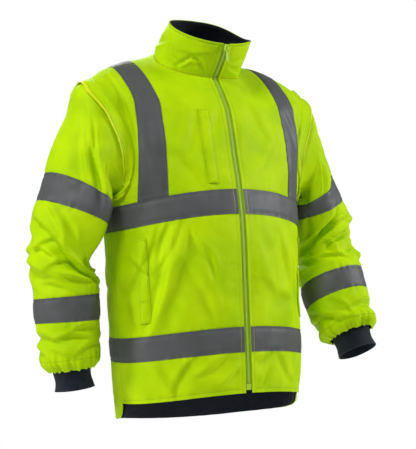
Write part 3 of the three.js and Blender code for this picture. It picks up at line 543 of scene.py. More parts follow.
# How far the cloth of the body stands out at a place, with folds, creases, stitched dips and gathers
def bodyRise(angle, height):
    half = between(bodyTable, height)["half"]
    c = np.cos(angle)
    inFront = c > 0
    fromSide = np.abs(c)
    width = np.sin(angle) * half
    underYoke = np.clip((-106 - height) / 60, 0, 1)
    fade = np.clip(fromSide / 0.3, 0, 1) * underYoke
    centre = np.where(inFront, np.clip((np.abs(width) - 12) / 30, 0, 1), 1)
    folds = np.where(
        inFront, foldHeight(frontFolds, np.abs(width), height), foldHeight(backFolds, -width, height)
    )
    rise = folds * fade * centre
    edge = np.clip(fromSide / 0.16, 0, 1) ** 1.5
    nearZip = np.where(inFront, np.clip((np.abs(width) - 14) / 12, 0, 1), 1)
    creases = np.where(
        inFront, creaseHeight(frontCreases, width, height, -1), creaseHeight(backCreases, width, height, -1)
    )
    creases = relief["bodyCreases"] * creases
    rough = 1.5 * unevenness(width, height, 95, 3) + 0.8 * unevenness(width, height, 38, 8)
    onTape = 0
    for top in (tape["chestTop"], tape["hemTop"]):
        inside = np.abs(height - top + tape["width"] / 2) - tape["width"] / 2
        onTape = np.maximum(onTape, 1 - np.clip(inside / 6, 0, 1))
    above = np.clip((height - tape["chestTop"]) / 10, 0, 1)
    sideOfBrace = np.abs(np.abs(width) - (tape["braceInner"] + tape["braceOuter"]) / 2) - tape["width"] / 2
    onTape = np.maximum(onTape, (1 - np.clip(sideOfBrace / 6, 0, 1)) * above)
    rise = rise + (creases * (1 - 0.45 * onTape) + rough) * edge * nearZip
    around = angle * 190
    for i, line in enumerate(stitchHeights):
        rise = rise + groove(height - line, seams["dip"], seams["dipWidth"]) * nearZip
        side = np.where(np.sign(height - line) == (-1) ** i, 1, 0.35)
        rise = rise + puckers(around, height - line, seams["pucker"], 1.3 * i + 1) * side * edge * nearZip
    for i, line in enumerate(braceStitches):
        away = np.abs(width) - line
        rise = rise + groove(away, seams["dip"], seams["dipWidth"]) * above * edge
        side = np.where(np.sign(away) == (-1) ** (i + 1), 1, 0.35)
        rise = rise + puckers(height, away, 0.9, 2.1 * i + 4) * side * above * edge
    hemLine = body["hem"] + seams["hemStitch"]
    hemFade = np.where(inFront, nearZip, 1)
    rise = rise + (groove(height - hemLine, 1.1, 3.5) + puckers(around, height - hemLine, 0.9, 9)) * edge * hemFade
    zipLine = np.abs(width) - seams["zipStitch"]
    besideZip = np.where(inFront, groove(zipLine, 0.7, 2.4), 0)
    outside = np.clip(zipLine / 10, 0, 1)
    besideZip = besideZip + np.where(inFront, puckers(height, zipLine, 0.9, 6) * outside, 0)
    rise = rise + besideZip
    rise = rise + groove(fromSide * half, 1.3, 5) * np.clip((body["armpit"] - height) / 20, 0, 1)
    neck = np.clip((-44 - height) / 24, 0, 1)
    return np.where(inFront, rise * neck, softFloor(rise, relief["backDeepest"]) * neck)


def onBody(angle, height):
    angle, height = np.broadcast_arrays(np.asarray(angle, float), np.asarray(height, float))
    out = bodyNormals(angle, height)
    return plainBody(angle, height) + out * bodyRise(angle, height)[..., None]


def sleeveRise(side, turn, at):
    girth = 400
    end = sleeveTables[side]["at"][-1]
    u = np.mod(turn, 2 * math.pi) / (2 * math.pi) * girth
    ends = np.clip((at - 66) / 40, 0, 1) * np.clip((end - 8 - at) / 25, 0, 1)
    rise = 0
    fine = 0
    shown = sleeveCreases[side] + hiddenCreases
    for shift in (-girth, 0, girth):
        if shift <= 0:
            rise = rise + foldHeight(sleeveFolds, u + shift, at)
        fine = fine + relief["sleeveCreases"] * creaseHeight(shown, u + shift, at)
    rough = 1.6 * unevenness(40 * np.cos(turn), at + 30 * np.sin(turn), 60, 5 + side)
    rough = rough + 0.7 * unevenness(60 * np.cos(turn), at + 60 * np.sin(turn), 30, 15 + side)
    tapes = sleeveTapes[side]
    onTape = 0
    for low, high in tapes:
        onTape = np.maximum(onTape, 1 - np.clip((np.abs(at - (low + high) / 2) - (high - low) / 2) / 6, 0, 1))
    far = np.clip((at - 45) / 40, 0, 1) * np.clip((end - 4 - at) / 20, 0, 1)
    rise = rise * ends + (fine * (1 - 0.5 * onTape) + rough) * far
    if side > 0:
        around = np.exp(-(((u - rest["u"]) / rest["wide"]) ** 2))
        rise = rise + rest["out"] * around * np.exp(-(((at - rest["at"]) / rest["long"]) ** 2))
    for i, line in enumerate(sleeveStitches[side]):
        rise = rise + groove(at - line, seams["dip"], seams["dipWidth"])
        outside = np.where(np.sign(at - line) == (-1) ** (i + 1), 1, 0.35)
        wave = np.sin(21 * turn + i + 1.6 * np.sin(5 * turn + 2 * i)) * (0.65 + 0.35 * np.sin(3 * turn + i))
        rise = rise + 1.3 * wave * np.exp(-np.abs(at - line) / 15) * outside
    # Elastic gathers at the sleeve's end
    gather = np.clip((at - (end - 46)) / 34, 0, 1) ** 2
    wave = np.sin(17 * turn + 1.8 * np.sin(4 * turn + side)) + 0.5 * np.sin(29 * turn + 2)
    return rise + 2.1 * wave * gather


# The armhole seam: w runs from 0 at the armpit up the front to 10 at the shoulder, and down the back to 20
def armholeSeam(side, w):
    near = np.minimum(w % 20, 20 - w % 20)
    turn = near / 10 * math.pi
    inFront = w <= 10
    height = body["armpit"] + (body["shoulder"] - body["armpit"]) * (1 - np.cos(turn)) / 2
    cut = np.radians(np.where(inFront, body["cutFront"], body["cutBack"]))
    angle = math.radians(90 - body["edgeTurn"]) - cut * np.maximum(np.sin(turn), 0) ** body["cutSquare"]
    angle = np.where(inFront, side * angle, math.pi - side * angle)
    return onBody(angle, height), bodyNormals(angle, height), near


# The sleeve's head opens out to the armhole seam, under the flap
head = {"long": 62, "tuck": 3.4, "rise": {-1: 15, 1: 1}, "riseAt": 42, "riseWide": 24}


def onSleeve(side, turn, at):
    turn, at = np.broadcast_arrays(np.asarray(turn, float), np.asarray(at, float))
    out = sleeveNormals(side, turn, at)
    full = head["rise"][side] * np.cos(turn / 2) ** 4 * np.exp(-(((at - head["riseAt"]) / head["riseWide"]) ** 2))
    points = plainSleeve(side, turn, at) + out * (sleeveRise(side, turn, at) + full)[..., None]
    turned = np.mod(turn, 2 * math.pi)
    w = np.where(turned <= math.pi, 10 * (1 - turned / math.pi), 10 + 10 * (2 - turned / math.pi))
    seam, normal, _ = armholeSeam(side, w)
    share = np.clip(1 - at / head["long"], 0, 1)
    share = (share**2 * (3 - 2 * share))[..., None]
    return points + (seam - normal * head["tuck"] - points) * share


def collarRise(angle, at):
    turned = (np.degrees(angle) + 180) % 360 - 180
    u = turned * 1.55
    v = at * collarHeight
    fromTop = (1 - at) * collarHeight
    fine = sum(creaseHeight(collarCreases, u + shift, v) for shift in (-558, 0, 558))
    rough = 0.9 * unevenness(70 * np.cos(angle), v + 70 * np.sin(angle), 50, 21)
    openEdge = np.clip((np.abs(turned) - 12) / 9, 0, 1)
    topEdge = np.clip(fromTop / 14, 0, 1)
    rise = (fine + rough) * openEdge * np.clip(v / 9, 0, 1) * (0.25 + 0.75 * topEdge)
    rise = rise + groove(fromTop - seams["collarStitch"], 1, 2.6)
    rise = rise + groove(v, 1.2, 4) + 1.1 * np.exp(-((fromTop / 3) ** 2))
    besideZip = np.abs(np.sin(angle) * between(collarTable, at)["half"]) - seams["zipStitch"]
    return rise + np.where(np.cos(angle) > 0, groove(besideZip, 0.7, 2.4), 0)


def onCollar(angle, at):
    angle, at = np.broadcast_arrays(np.asarray(angle, float), np.asarray(at, float))
    out = collarNormals(angle, at)
    return plainCollar(angle, at) + out * collarRise(angle, at)[..., None]


seamHeights = np.linspace(-92, body["neck"], 1200)
seamWidths = between(bodyTable, seamHeights)["half"]


def ringOfWidth(width):
    return np.interp(width, seamWidths[::-1], seamHeights[::-1])


shoulderHalf = float(between(bodyTable, body["shoulder"])["half"])


# Places on a front or half the back: across 0 at the centre and 1 at the outer edge,
# along 0 at the hem, 1 at the armpit and 2 at the shoulder seam
def panelPlaces(across, along, inner, cut):
    turn = np.clip(along - 1, 0, 1) * math.pi
    rise = (1 - np.cos(turn)) / 2
    armHeight = body["armpit"] + (body["shoulder"] - body["armpit"]) * rise
    lowHeight = body["hem"] + (body["armpit"] - body["hem"]) * np.clip(along, 0, 1)
    edgeHeight = np.where(along < 1, lowHeight, armHeight)
    edgeAngle = math.radians(90 - body["edgeTurn"]) - math.radians(cut) * np.sin(turn) ** body["cutSquare"]
    edgeWidth = between(bodyTable, edgeHeight)["half"] * np.sin(edgeAngle)
    bent = np.sin(across * edgeAngle) / np.sin(edgeAngle)
    share = bent + (across - bent) * rise
    seamWidth = inner + (shoulderHalf - inner) * share
    seamHeight = np.where(seamWidth <= body["neckHalf"], body["neck"], ringOfWidth(seamWidth))
    height = np.where(along < 1, lowHeight, body["armpit"] + (seamHeight - body["armpit"]) * rise)
    width = inner + (edgeWidth - inner) * share
    half = between(bodyTable, height)["half"]
    most = math.sin(math.radians(90 - body["edgeTurn"]))
    return np.arcsin(np.clip(width / half, -most, most)), height


# Normals of a grid of points, from its neighbours
def gridNormals(points, around, like=None):
    if around:
        across = np.roll(points, -1, 1) - np.roll(points, 1, 1)
    else:
        across = np.gradient(points, axis=1)
    along = np.gradient(points, axis=0)
    normals = unit(np.cross(across, along))
    if like is not None:
        wrong = (normals * like).sum(-1, keepdims=True) < 0
        if wrong.mean() > 0.5:
            normals = -normals
    return normals


def finish(piece, nodes, rider="jacket", angle=40):
    bpy.ops.object.select_all(action="DESELECT")
    bpy.context.view_layer.objects.active = piece
    piece.select_set(True)
    bpy.ops.object.shade_smooth_by_angle(angle=math.radians(angle))
    piece.select_set(False)
    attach(piece, rider)
    if nodes:
        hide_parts(*nodes)
    return piece


def meshPiece(name, verts, faces, materials, faceMaterials=None, cornerUvs=None):
    mesh = bpy.data.meshes.new(name)
    mesh.from_pydata((np.asarray(verts) / 1000).tolist(), [], faces)
    for material in materials:
        mesh.materials.append(material)
    if faceMaterials is not None:
        mesh.polygons.foreach_set("material_index", np.asarray(faceMaterials, np.int32))
    if cornerUvs is not None:
        layer = mesh.uv_layers.new(name="cloth")
        layer.data.foreach_set("uv", np.asarray(cornerUvs, np.float32).ravel())
    mesh.update()
    piece = bpy.data.objects.new(name, mesh)
    bpy.context.scene.collection.objects.link(piece)
    return piece


# A closed wall of cloth: its outer face lies lift above the points, and uvs are in metres on the cloth.
# Trim gives how many of the first and last rows take the third material
def wallPiece(name, points, lift, wall, uvs, materials, around=False, like=None, trim=(0, 0)):
    rows, columns = points.shape[:2]
    normals = gridNormals(points, around, like)
    lift = np.broadcast_to(np.asarray(lift, float), points.shape[:2])[..., None]
    outer = points + normals * lift
    inner = points + normals * (lift - wall)
    index = np.arange(rows * columns).reshape(rows, columns)
    right = np.roll(index, -1, 1) if around else index[:, 1:]
    left = index if around else index[:, :-1]
    quads = np.stack([left[:-1], right[:-1], right[1:], left[1:]], -1).reshape(-1, 4)
    uAt, vAt = uvs
    if around:
        uAt = np.concatenate([uAt, uAt[:, :1] + around], 1)
        vAt = np.concatenate([vAt, vAt[:, :1]], 1)
    uvAt = np.stack([uAt, vAt], -1)
    quadUvs = np.stack([uvAt[:-1, :-1], uvAt[:-1, 1:], uvAt[1:, 1:], uvAt[1:, :-1]], 2).reshape(-1, 4, 2)
    count = rows * columns
    flat = points.reshape(-1, 3)
    faceNormals = np.cross(flat[quads[:, 1]] - flat[quads[:, 0]], flat[quads[:, 3]] - flat[quads[:, 0]])
    facing = (faceNormals * normals.reshape(-1, 3)[quads[:, 0]]).sum()
    if facing < 0:
        quads = quads[:, ::-1]
        quadUvs = quadUvs[:, ::-1]
    innerQuads = quads[:, ::-1] + count
    innerUvs = quadUvs[:, ::-1]
    rims = []
    rimUvs = []
    borders = [(index[0], uvAt[0], 1), (index[-1], uvAt[-1], -1)]
    if not around:
        borders += [(index[:, 0], uvAt[:, 0], -1), (index[:, -1], uvAt[:, -1], 1)]
    for line, lineUv, way in borders:
        if around:
            line = np.append(line, line[0])
        a, b = line[:-1], line[1:]
        ua, ub = lineUv[:-1], lineUv[1:]
        rim = np.stack([b, a, a + count, b + count], -1)
        rimUv = np.stack([ub, ua, ua, ub], 1)
        if way * (1 if facing >= 0 else -1) < 0:
            rim, rimUv = rim[:, ::-1], rimUv[:, ::-1]
        rims.append(rim)
        rimUvs.append(rimUv)
    faces = np.concatenate([quads, innerQuads] + rims)
    allUvs = np.concatenate([quadUvs, innerUvs] + rimUvs)
    which = np.zeros(len(faces), int)
    if len(materials) > 1:
        which[len(quads) : 2 * len(quads)] = 1
    perRow = len(quads) // (rows - 1)
    edge = 2 * len(quads)
    for first in (0, len(quads)):
        which[first : first + trim[0] * perRow] = 2 if trim[0] else which[first]
        last = first + len(quads)
        which[last - trim[1] * perRow : last] = 2
    if trim[0]:
        which[edge : edge + perRow] = 2
    if trim[1]:
        which[edge + perRow : edge + 2 * perRow] = 2
    verts = np.concatenate([outer.reshape(-1, 3), inner.reshape(-1, 3)])
    return meshPiece(name, verts, faces.tolist(), materials, which, allUvs.reshape(-1, 2))


def node(tree, kind, place=(0, 0), **settings):
    made = tree.nodes.new(kind)
    made.location = place
    for key, value in settings.items():
        if key.startswith("in_"):
            made.inputs[int(key[3:])].default_value = value
        else:
            setattr(made, key, value)
    return made


def reckon(tree, kind, a, b, place=(0, 0)):
    made = node(tree, "ShaderNodeMath", place, operation=kind)
    for i, value in enumerate((a, b)):
        if isinstance(value, (int, float)):
            made.inputs[i].default_value = value
        else:
            tree.links.new(value, made.inputs[i])
    return made.outputs[0]


def newGroup(name, inputs, outputs):
    group = bpy.data.node_groups.new(name, "ShaderNodeTree")
    for label, kind, value in inputs:
        socket = group.interface.new_socket(name=label, in_out="INPUT", socket_type=kind)
        if value is not None:
            socket.default_value = value
    for label, kind in outputs:
        group.interface.new_socket(name=label, in_out="OUTPUT", socket_type=kind)
    return group, group.nodes.new("NodeGroupInput"), group.nodes.new("NodeGroupOutput")


# Plain weave: warp and weft threads that pass over and under each other
def makeWeave():
    group, given, made = newGroup(
        "clothWeave",
        [("Vector", "NodeSocketVector", None), ("Threads", "NodeSocketFloat", 1200.0)],
        [("Height", "NodeSocketFloat"), ("Shade", "NodeSocketFloat")],
    )
    scaled = node(group, "ShaderNodeVectorMath", (-600, 0), operation="SCALE")
    group.links.new(given.outputs["Vector"], scaled.inputs[0])
    group.links.new(given.outputs["Threads"], scaled.inputs["Scale"])
    parts = node(group, "ShaderNodeSeparateXYZ", (-420, 0))
    group.links.new(scaled.outputs[0], parts.inputs[0])
    across = reckon(group, "SINE", reckon(group, "MULTIPLY", parts.outputs[0], math.pi, (-260, 100)), 0, (-100, 100))
    along = reckon(group, "SINE", reckon(group, "MULTIPLY", parts.outputs[1], math.pi, (-260, -100)), 0, (-100, -100))
    over = reckon(group, "GREATER_THAN", reckon(group, "MULTIPLY", across, along, (60, 0)), 0, (200, 0))
    warp = reckon(group, "ABSOLUTE", across, 0, (60, 200))
    weft = reckon(group, "ABSOLUTE", along, 0, (60, -200))
    high = node(group, "ShaderNodeMix", (380, 0), data_type="FLOAT")
    group.links.new(over, high.inputs[0])
    group.links.new(weft, high.inputs[2])
    group.links.new(warp, high.inputs[3])
    group.links.new(high.outputs[0], made.inputs["Height"])
    shade = reckon(group, "ADD", reckon(group, "MULTIPLY", high.outputs[0], 0.25, (540, -100)), 0.8, (700, -100))
    group.links.new(shade, made.inputs["Shade"])
    return group


# Uneven tone and fine crumple, on two sizes of noise
def makeMottle():
    group, given, made = newGroup(
        "clothMottle",
        [("Vector", "NodeSocketVector", None), ("Size", "NodeSocketFloat", 20.0), ("Detail", "NodeSocketFloat", 4.0)],
        [("Tone", "NodeSocketFloat"), ("Crumple", "NodeSocketFloat")],
    )
    wide = node(group, "ShaderNodeTexNoise", (-300, 100))
    fine = node(group, "ShaderNodeTexNoise", (-300, -150))
    fine.inputs["Roughness"].default_value = 0.55
    group.links.new(given.outputs["Vector"], wide.inputs["Vector"])
    group.links.new(given.outputs["Vector"], fine.inputs["Vector"])
    group.links.new(given.outputs["Size"], wide.inputs["Scale"])
    group.links.new(reckon(group, "MULTIPLY", given.outputs["Size"], 6.0, (-480, -200)), fine.inputs["Scale"])
    group.links.new(given.outputs["Detail"], fine.inputs["Detail"])
    group.links.new(wide.outputs["Fac"], made.inputs["Tone"])
    group.links.new(fine.outputs["Fac"], made.inputs["Crumple"])
    return group


weaveNodes = makeWeave()
mottleNodes = makeMottle()


# A woven cloth: its two tones, thread count, bump heights in metres and finish
def clothMaterial(name, look):
    made = bpy.data.materials.new(name)
    made.use_nodes = True
    tree = made.node_tree
    shader = tree.nodes["Principled BSDF"]
    uv = node(tree, "ShaderNodeUVMap", (-1300, 0), uv_map="cloth")
    place = node(tree, "ShaderNodeTexCoord", (-1300, -300))
    weave = node(tree, "ShaderNodeGroup", (-1000, 0), node_tree=weaveNodes)
    weave.inputs["Threads"].default_value = look["threads"]
    tree.links.new(uv.outputs[0], weave.inputs["Vector"])
    mottle = node(tree, "ShaderNodeGroup", (-1000, -300), node_tree=mottleNodes)
    mottle.inputs["Size"].default_value = look["mottle"]
    tree.links.new(place.outputs["Object"], mottle.inputs["Vector"])
    tone = node(tree, "ShaderNodeMapRange", (-760, -300), in_1=0.32, in_2=0.68)
    tree.links.new(mottle.outputs["Tone"], tone.inputs[0])
    colour = node(tree, "ShaderNodeMix", (-520, 0), data_type="RGBA")
    colour.inputs[6].default_value = (*look["deep"], 1)
    colour.inputs[7].default_value = (*look["light"], 1)
    tree.links.new(tone.outputs[0], colour.inputs[0])
    shaded = node(tree, "ShaderNodeMix", (-300, 0), data_type="RGBA", blend_type="MULTIPLY")
    shaded.inputs[0].default_value = look.get("threadShade", 0.5)
    tree.links.new(colour.outputs[2], shaded.inputs[6])
    tree.links.new(weave.outputs["Shade"], shaded.inputs[7])
    tree.links.new(shaded.outputs[2], shader.inputs["Base Color"])
    rough = node(tree, "ShaderNodeMapRange", (-520, -500), in_3=look["rough"] - 0.06, in_4=look["rough"] + 0.06)
    tree.links.new(mottle.outputs["Crumple"], rough.inputs[0])
    tree.links.new(rough.outputs[0], shader.inputs["Roughness"])
    height = reckon(
        tree,
        "ADD",
        reckon(tree, "MULTIPLY", weave.outputs["Height"], look["weaveHeight"], (-760, -700)),
        reckon(tree, "MULTIPLY", mottle.outputs["Crumple"], look["crumpleHeight"], (-760, -860)),
        (-520, -760),
    )
    bump = node(tree, "ShaderNodeBump", (-300, -700))
    bump.inputs["Distance"].default_value = 1
    tree.links.new(height, bump.inputs["Height"])
    tree.links.new(bump.outputs[0], shader.inputs["Normal"])
    shader.inputs["Specular IOR Level"].default_value = look["specular"]
    shader.inputs["Sheen Weight"].default_value = look.get("sheen", 0)
    shader.inputs["Sheen Roughness"].default_value = 0.5
    shader.inputs["Metallic"].default_value = look.get("metal", 0)
    return made


clothLooks = {
    "shell": {
        "deep": (0.4, 0.655, 0.001),
        "light": (0.53, 0.765, 0.002),
        "threads": 1100,
        "mottle": 14,
        "rough": 0.52,
        "weaveHeight": 0.00006,
        "crumpleHeight": 0.0009,
        "specular": 0.05,
        "sheen": 0.0,
        "threadShade": 0.4,
    },
    "tape": {
        "deep": (0.088, 0.091, 0.092),
        "light": (0.106, 0.11, 0.113),
        "threads": 2600,
        "mottle": 16,
        "rough": 0.55,
        "weaveHeight": 0.00002,
        "crumpleHeight": 0.00025,
        "specular": 0.25,
        "metal": 0.2,
        "threadShade": 0.25,
    },
    "lining": {
        "deep": (0.006, 0.009, 0.017),
        "light": (0.01, 0.014, 0.026),
        "threads": 1500,
        "mottle": 18,
        "rough": 0.7,
        "weaveHeight": 0.00005,
        "crumpleHeight": 0.0008,
        "specular": 0.25,
        "sheen": 0.05,
    },
    "knit": {
        "deep": (0.008, 0.012, 0.02),
        "light": (0.014, 0.019, 0.03),
        "threads": 700,
        "mottle": 30,
        "rough": 0.9,
        "weaveHeight": 0.0003,
        "crumpleHeight": 0.0004,
        "specular": 0.15,
        "sheen": 0.12,
    },
    "zipTape": {
        "deep": (0.34, 0.56, 0.02),
        "light": (0.4, 0.62, 0.03),
        "threads": 900,
        "mottle": 30,
        "rough": 0.6,
        "weaveHeight": 0.0001,
        "crumpleHeight": 0.0002,
        "specular": 0.3,
    },
    # Edge bead cloth: the shell's colour made lighter and yellower, a painted highlight where the rolled edges catch
    # the light
    "paintedHighlightEdge": {
        "deep": (0.62, 0.74, 0.002),
        "light": (0.72, 0.8, 0.006),
        "threads": 1100,
        "mottle": 30,
        "rough": 0.5,
        "weaveHeight": 0.00006,
        "crumpleHeight": 0.0003,
        "specular": 0.3,
    },
}
cloths = {name: clothMaterial(name, look) for name, look in clothLooks.items()}


# Plastic, metal and thread: tone and fine wear from noise on the piece's own coordinates
def hardMaterial(name, deep, light, rough, metal=0.0, specular=0.5, grain=900, bumpHeight=0.00003):
    made = bpy.data.materials.new(name)
    made.use_nodes = True
    tree = made.node_tree
    shader = tree.nodes["Principled BSDF"]
    place = node(tree, "ShaderNodeTexCoord", (-1000, 0))
    mottle = node(tree, "ShaderNodeGroup", (-800, 0), node_tree=mottleNodes)
    mottle.inputs["Size"].default_value = grain / 6
    tree.links.new(place.outputs["Object"], mottle.inputs["Vector"])
    colour = node(tree, "ShaderNodeMix", (-500, 0), data_type="RGBA")
    colour.inputs[6].default_value = (*deep, 1)
    colour.inputs[7].default_value = (*light, 1)
    tree.links.new(mottle.outputs["Tone"], colour.inputs[0])
    tree.links.new(colour.outputs[2], shader.inputs["Base Color"])
    roughness = node(tree, "ShaderNodeMapRange", (-500, -250), in_3=rough - 0.08, in_4=rough + 0.08)
    tree.links.new(mottle.outputs["Crumple"], roughness.inputs[0])
    tree.links.new(roughness.outputs[0], shader.inputs["Roughness"])
    bump = node(tree, "ShaderNodeBump", (-300, -450))
    bump.inputs["Distance"].default_value = 1
    height = reckon(tree, "MULTIPLY", mottle.outputs["Crumple"], bumpHeight, (-500, -450))
    tree.links.new(height, bump.inputs["Height"])
    tree.links.new(bump.outputs[0], shader.inputs["Normal"])
    shader.inputs["Metallic"].default_value = metal
    shader.inputs["Specular IOR Level"].default_value = specular
    return made


zipPlastic = hardMaterial("zipPlastic", (0.38, 0.6, 0.025), (0.45, 0.66, 0.045), 0.38)
# Olive thread darker than the shell: painted shade standing for the shadow of the puckers along sewn lines
threadPaintedShade = hardMaterial("threadPaintedShade", (0.2, 0.34, 0.002), (0.28, 0.42, 0.004), 0.6, specular=0.2)
threadYellow = hardMaterial("threadYellow", (0.42, 0.6, 0.02), (0.55, 0.7, 0.04), 0.6, specular=0.3)
threadGrey = hardMaterial("threadGrey", (0.09, 0.095, 0.1), (0.13, 0.135, 0.14), 0.6, specular=0.3)
print("materials made")


def linspaceFor(low, high, step):
    return np.linspace(low, high, max(int(round(abs(high - low) / step)), 2) + 1)


# Front panels
frontCut = {"flat": (0.345, 0.64), "area": 0.18, "across": 104, "low": 150, "arm": 70}
shellMaterials = [cloths["shell"], cloths["lining"]]
for side, label in ((-1, "right"), (1, "left")):
    across = np.linspace(0, 1, frontCut["across"] + 1)[None, :]
    rows = [np.linspace(0, 1, frontCut["low"] + 1), np.linspace(1, 2, frontCut["arm"] + 1)[1:]]
    along = np.concatenate(rows)[:, None]
    angle, height = panelPlaces(across, along, 8, body["cutFront"])
    points = onBody(side * angle, height)
    uvs = (side * angle * 0.19, height / 1000)
    like = bodyNormals(side * angle, height)
    piece = wallPiece(f"frontPanel_{label}", points, 0, body["wall"], uvs, shellMaterials, like=like)
    finish(piece, [f"front_{label}"])
print("fronts made")

# Back panel with its rounded tail, and the lining behind it
backCut = {"flat": (0.7, 0.73), "area": 0.41, "across": 190, "tail": 20, "low": 136, "arm": 62}
liningCut = {
    "flat": (0.68, 0.71),
    "area": 0.37,
    "across": 86,
    "tail": 13,
    "low": 60,
    "arm": 30,
    "lift": -9,
    "wall": 1.2,
    "setback": 13,
}


def backPlaces(across, along):
    angle, height = panelPlaces(np.abs(across), np.maximum(along, 0), 0, body["cutBack"])
    # At the wearer's left the tail wraps forward inside the front's hem
    wrapped = np.where(across > 0, np.clip(1 - along / 0.05, 0, 1) * np.abs(across) ** 5, 0)
    angle = angle + math.radians(body["tailWrap"]) * wrapped
    turned = np.degrees(angle)
    rounding = np.clip((90 - turned) / body["tailCorner"], 0, 1)
    # The corner on the wearer's left is rounded more widely
    reach = np.where(across > 0, np.interp(turned, *body["tailLeft"]), np.sqrt(1 - (1 - rounding) ** 2))
    drop = (body["tailDrop"] + body["tailLean"] * across - 3) * reach + 3
    height = height + np.minimum(along, 0) * drop
    return math.pi - np.sign(across + 1e-12) * angle, height


def insideFronts(points, normals, angle):
    beyond = np.clip((math.pi / 2 - angle) / math.radians(3), 0, 1)[..., None]
    return points - 3.2 * beyond * normals


# Places from the tail, at low, up to high at the shoulder seam
def backGrid(cut, low, high):
    rows = [
        np.linspace(low, 0, cut["tail"] + 1),
        np.linspace(0, 1, cut["low"] + 1)[1:],
        np.linspace(1, high, cut["arm"] + 1)[1:],
    ]
    return np.linspace(-1, 1, cut["across"] + 1)[None, :], np.concatenate(rows)[:, None]


angle, height = backPlaces(*backGrid(backCut, -1, 2))
like = bodyNormals(angle, height)
points = insideFronts(onBody(angle, height), like, angle)
backPiece = wallPiece("backPanel", points, 0, body["wall"], (angle * 0.19, height / 1000), shellMaterials, like=like)
finish(backPiece, ["back"])

across, along = backGrid(liningCut, -0.98, 1.97)
narrowed = across * (1 - np.clip((along - 1) * 4, 0, 1) * liningCut["setback"] / 160)
angle, height = backPlaces(narrowed, along)
like = bodyNormals(angle, height)
soft = 1.3 * unevenness(angle * 150, height, 120, 31) + 0.5 * unevenness(angle * 150, height, 44, 32)
points = plainBody(angle, height) + like * soft[..., None]
uvs = (angle * 0.17, height / 1000)
liningPiece = wallPiece(
    "backLining", points, liningCut["lift"], liningCut["wall"], uvs, [cloths["lining"]], like=like
)
finish(liningPiece, ["lining_back"])
print("back made")


# Lengths along the columns of a grid of points, from its first row
def lengthsDown(points):
    steps = np.linalg.norm(np.diff(points, axis=0), axis=-1)
    return np.concatenate([np.zeros((1, points.shape[1])), np.cumsum(steps, 0)])


# A strip of reflective tape on the points of the cloth under it
def tapePiece(name, points, uvs, like):
    return wallPiece(name, points, tape["lift"], tape["wall"], uvs, [cloths["tape"]], like=like)


# Reflective tape round the body: each band in three stretches, and braces over the shoulders
for band, top in (("chest", tape["chestTop"]), ("hem", tape["hemTop"])):
    height = linspaceFor(top - tape["width"], top, 3.1)[:, None]
    for side, label in ((-1, "right"), (1, "left")):
        half = between(bodyTable, height)["half"]
        inner = np.arcsin(8 / half)
        angle = inner + (math.radians(90 - body["edgeTurn"]) - inner) * np.linspace(0, 1, 97)[None, :]
        heights = np.broadcast_to(height, angle.shape)
        like = bodyNormals(side * angle, heights)
        uvs = (side * angle * 0.19, heights / 1000)
        piece = tapePiece(f"{band}Tape_{label}", onBody(side * angle, heights), uvs, like)
        finish(piece, [f"tape_{band}_{label}"])
    angle = math.pi + math.radians(90 - body["edgeTurn"]) * np.linspace(-1, 1, 181)[None, :] + 0 * height
    heights = np.broadcast_to(height, angle.shape)
    like = bodyNormals(angle, heights)
    piece = tapePiece(f"{band}Tape_back", onBody(angle, heights), (angle * 0.19, heights / 1000), like)
    finish(piece, [f"tape_{band}_back"])


def braceGrid(side, behind):
    width = np.linspace(tape["braceInner"], tape["braceOuter"], 17)[None, :]
    share = (1 - np.cos(np.linspace(0, math.pi, 84)))[:, None] / 2
    low, high = tape["chestTop"] + 0.4, ringOfWidth(width / math.sin(math.radians(90 - body["edgeTurn"]))) - 0.01
    height = low + (high - low) * share
    angle = np.arcsin(np.clip(width / between(bodyTable, height)["half"], -1, 1))
    return (math.pi - side * angle if behind else side * angle), height, width + 0 * height


for side, label in ((-1, "right"), (1, "left")):
    for behind, place in ((False, "front"), (True, "back")):
        angle, height, width = braceGrid(side, behind)
        like = bodyNormals(angle, height)
        uvs = (width / 1000, lengthsDown(plainBody(angle, height)) / 1000)
        piece = tapePiece(f"braceTape_{place}_{label}", onBody(angle, height), uvs, like)
        finish(piece, [f"tape_brace_{place}_{label}"])
print("tapes made")

# Stand collar and its lining
collarCut = {"flat": (0.43, 0.098), "columns": 196, "rows": 34, "liningColumns": 120, "liningFlat": (0.41, 0.094)}
at = np.linspace(0.012, 1, collarCut["rows"] + 1)[:, None]
half = between(collarTable, at)["half"]
edgeAngle = np.arcsin(8 / half)
angle = edgeAngle + (2 * math.pi - 2 * edgeAngle) * np.linspace(0, 1, collarCut["columns"] + 1)[None, :]
ats = np.broadcast_to(at, angle.shape)
like = collarNormals(angle, ats)
points = onCollar(angle, ats)
under = points[:1] - unit(points[1:2] - points[:1]) * 3.4 - like[:1] * 0.9
points = np.concatenate([under, points])
like, angle = np.concatenate([like[:1], like]), np.concatenate([angle[:1], angle])
ats = np.concatenate([ats[:1] - 0.035, ats])
bead = 0.5 * np.exp(-(((ats - 0.012) * collarHeight / 2.2) ** 2))
# The collar's bottom bead rows take the lighter edge cloth: a real bead with a painted highlight on it
layers = [cloths["shell"], cloths["shell"], cloths["paintedHighlightEdge"]]
uvs = (angle * 0.088, ats * collarHeight / 1000)
collarPiece = wallPiece("standCollar", points, bead, body["wall"], uvs, layers, like=like, trim=(2, 0))
finish(collarPiece, ["collar"])
inner = np.arcsin(17.5 / half)
angle = inner + (2 * math.pi - 2 * inner) * np.linspace(0, 1, collarCut["liningColumns"] + 1)[None, :]
ats = np.broadcast_to(at, angle.shape)
like = collarNormals(angle, ats)
uvs = (angle * 0.088, ats * collarHeight / 1000)
lift = -body["wall"] - 0.35
piece = wallPiece("collarLining", onCollar(angle, ats), lift, liningCut["wall"], uvs, [cloths["lining"]], like=like)
finish(piece, ["collar_lining"])
print("collar made")

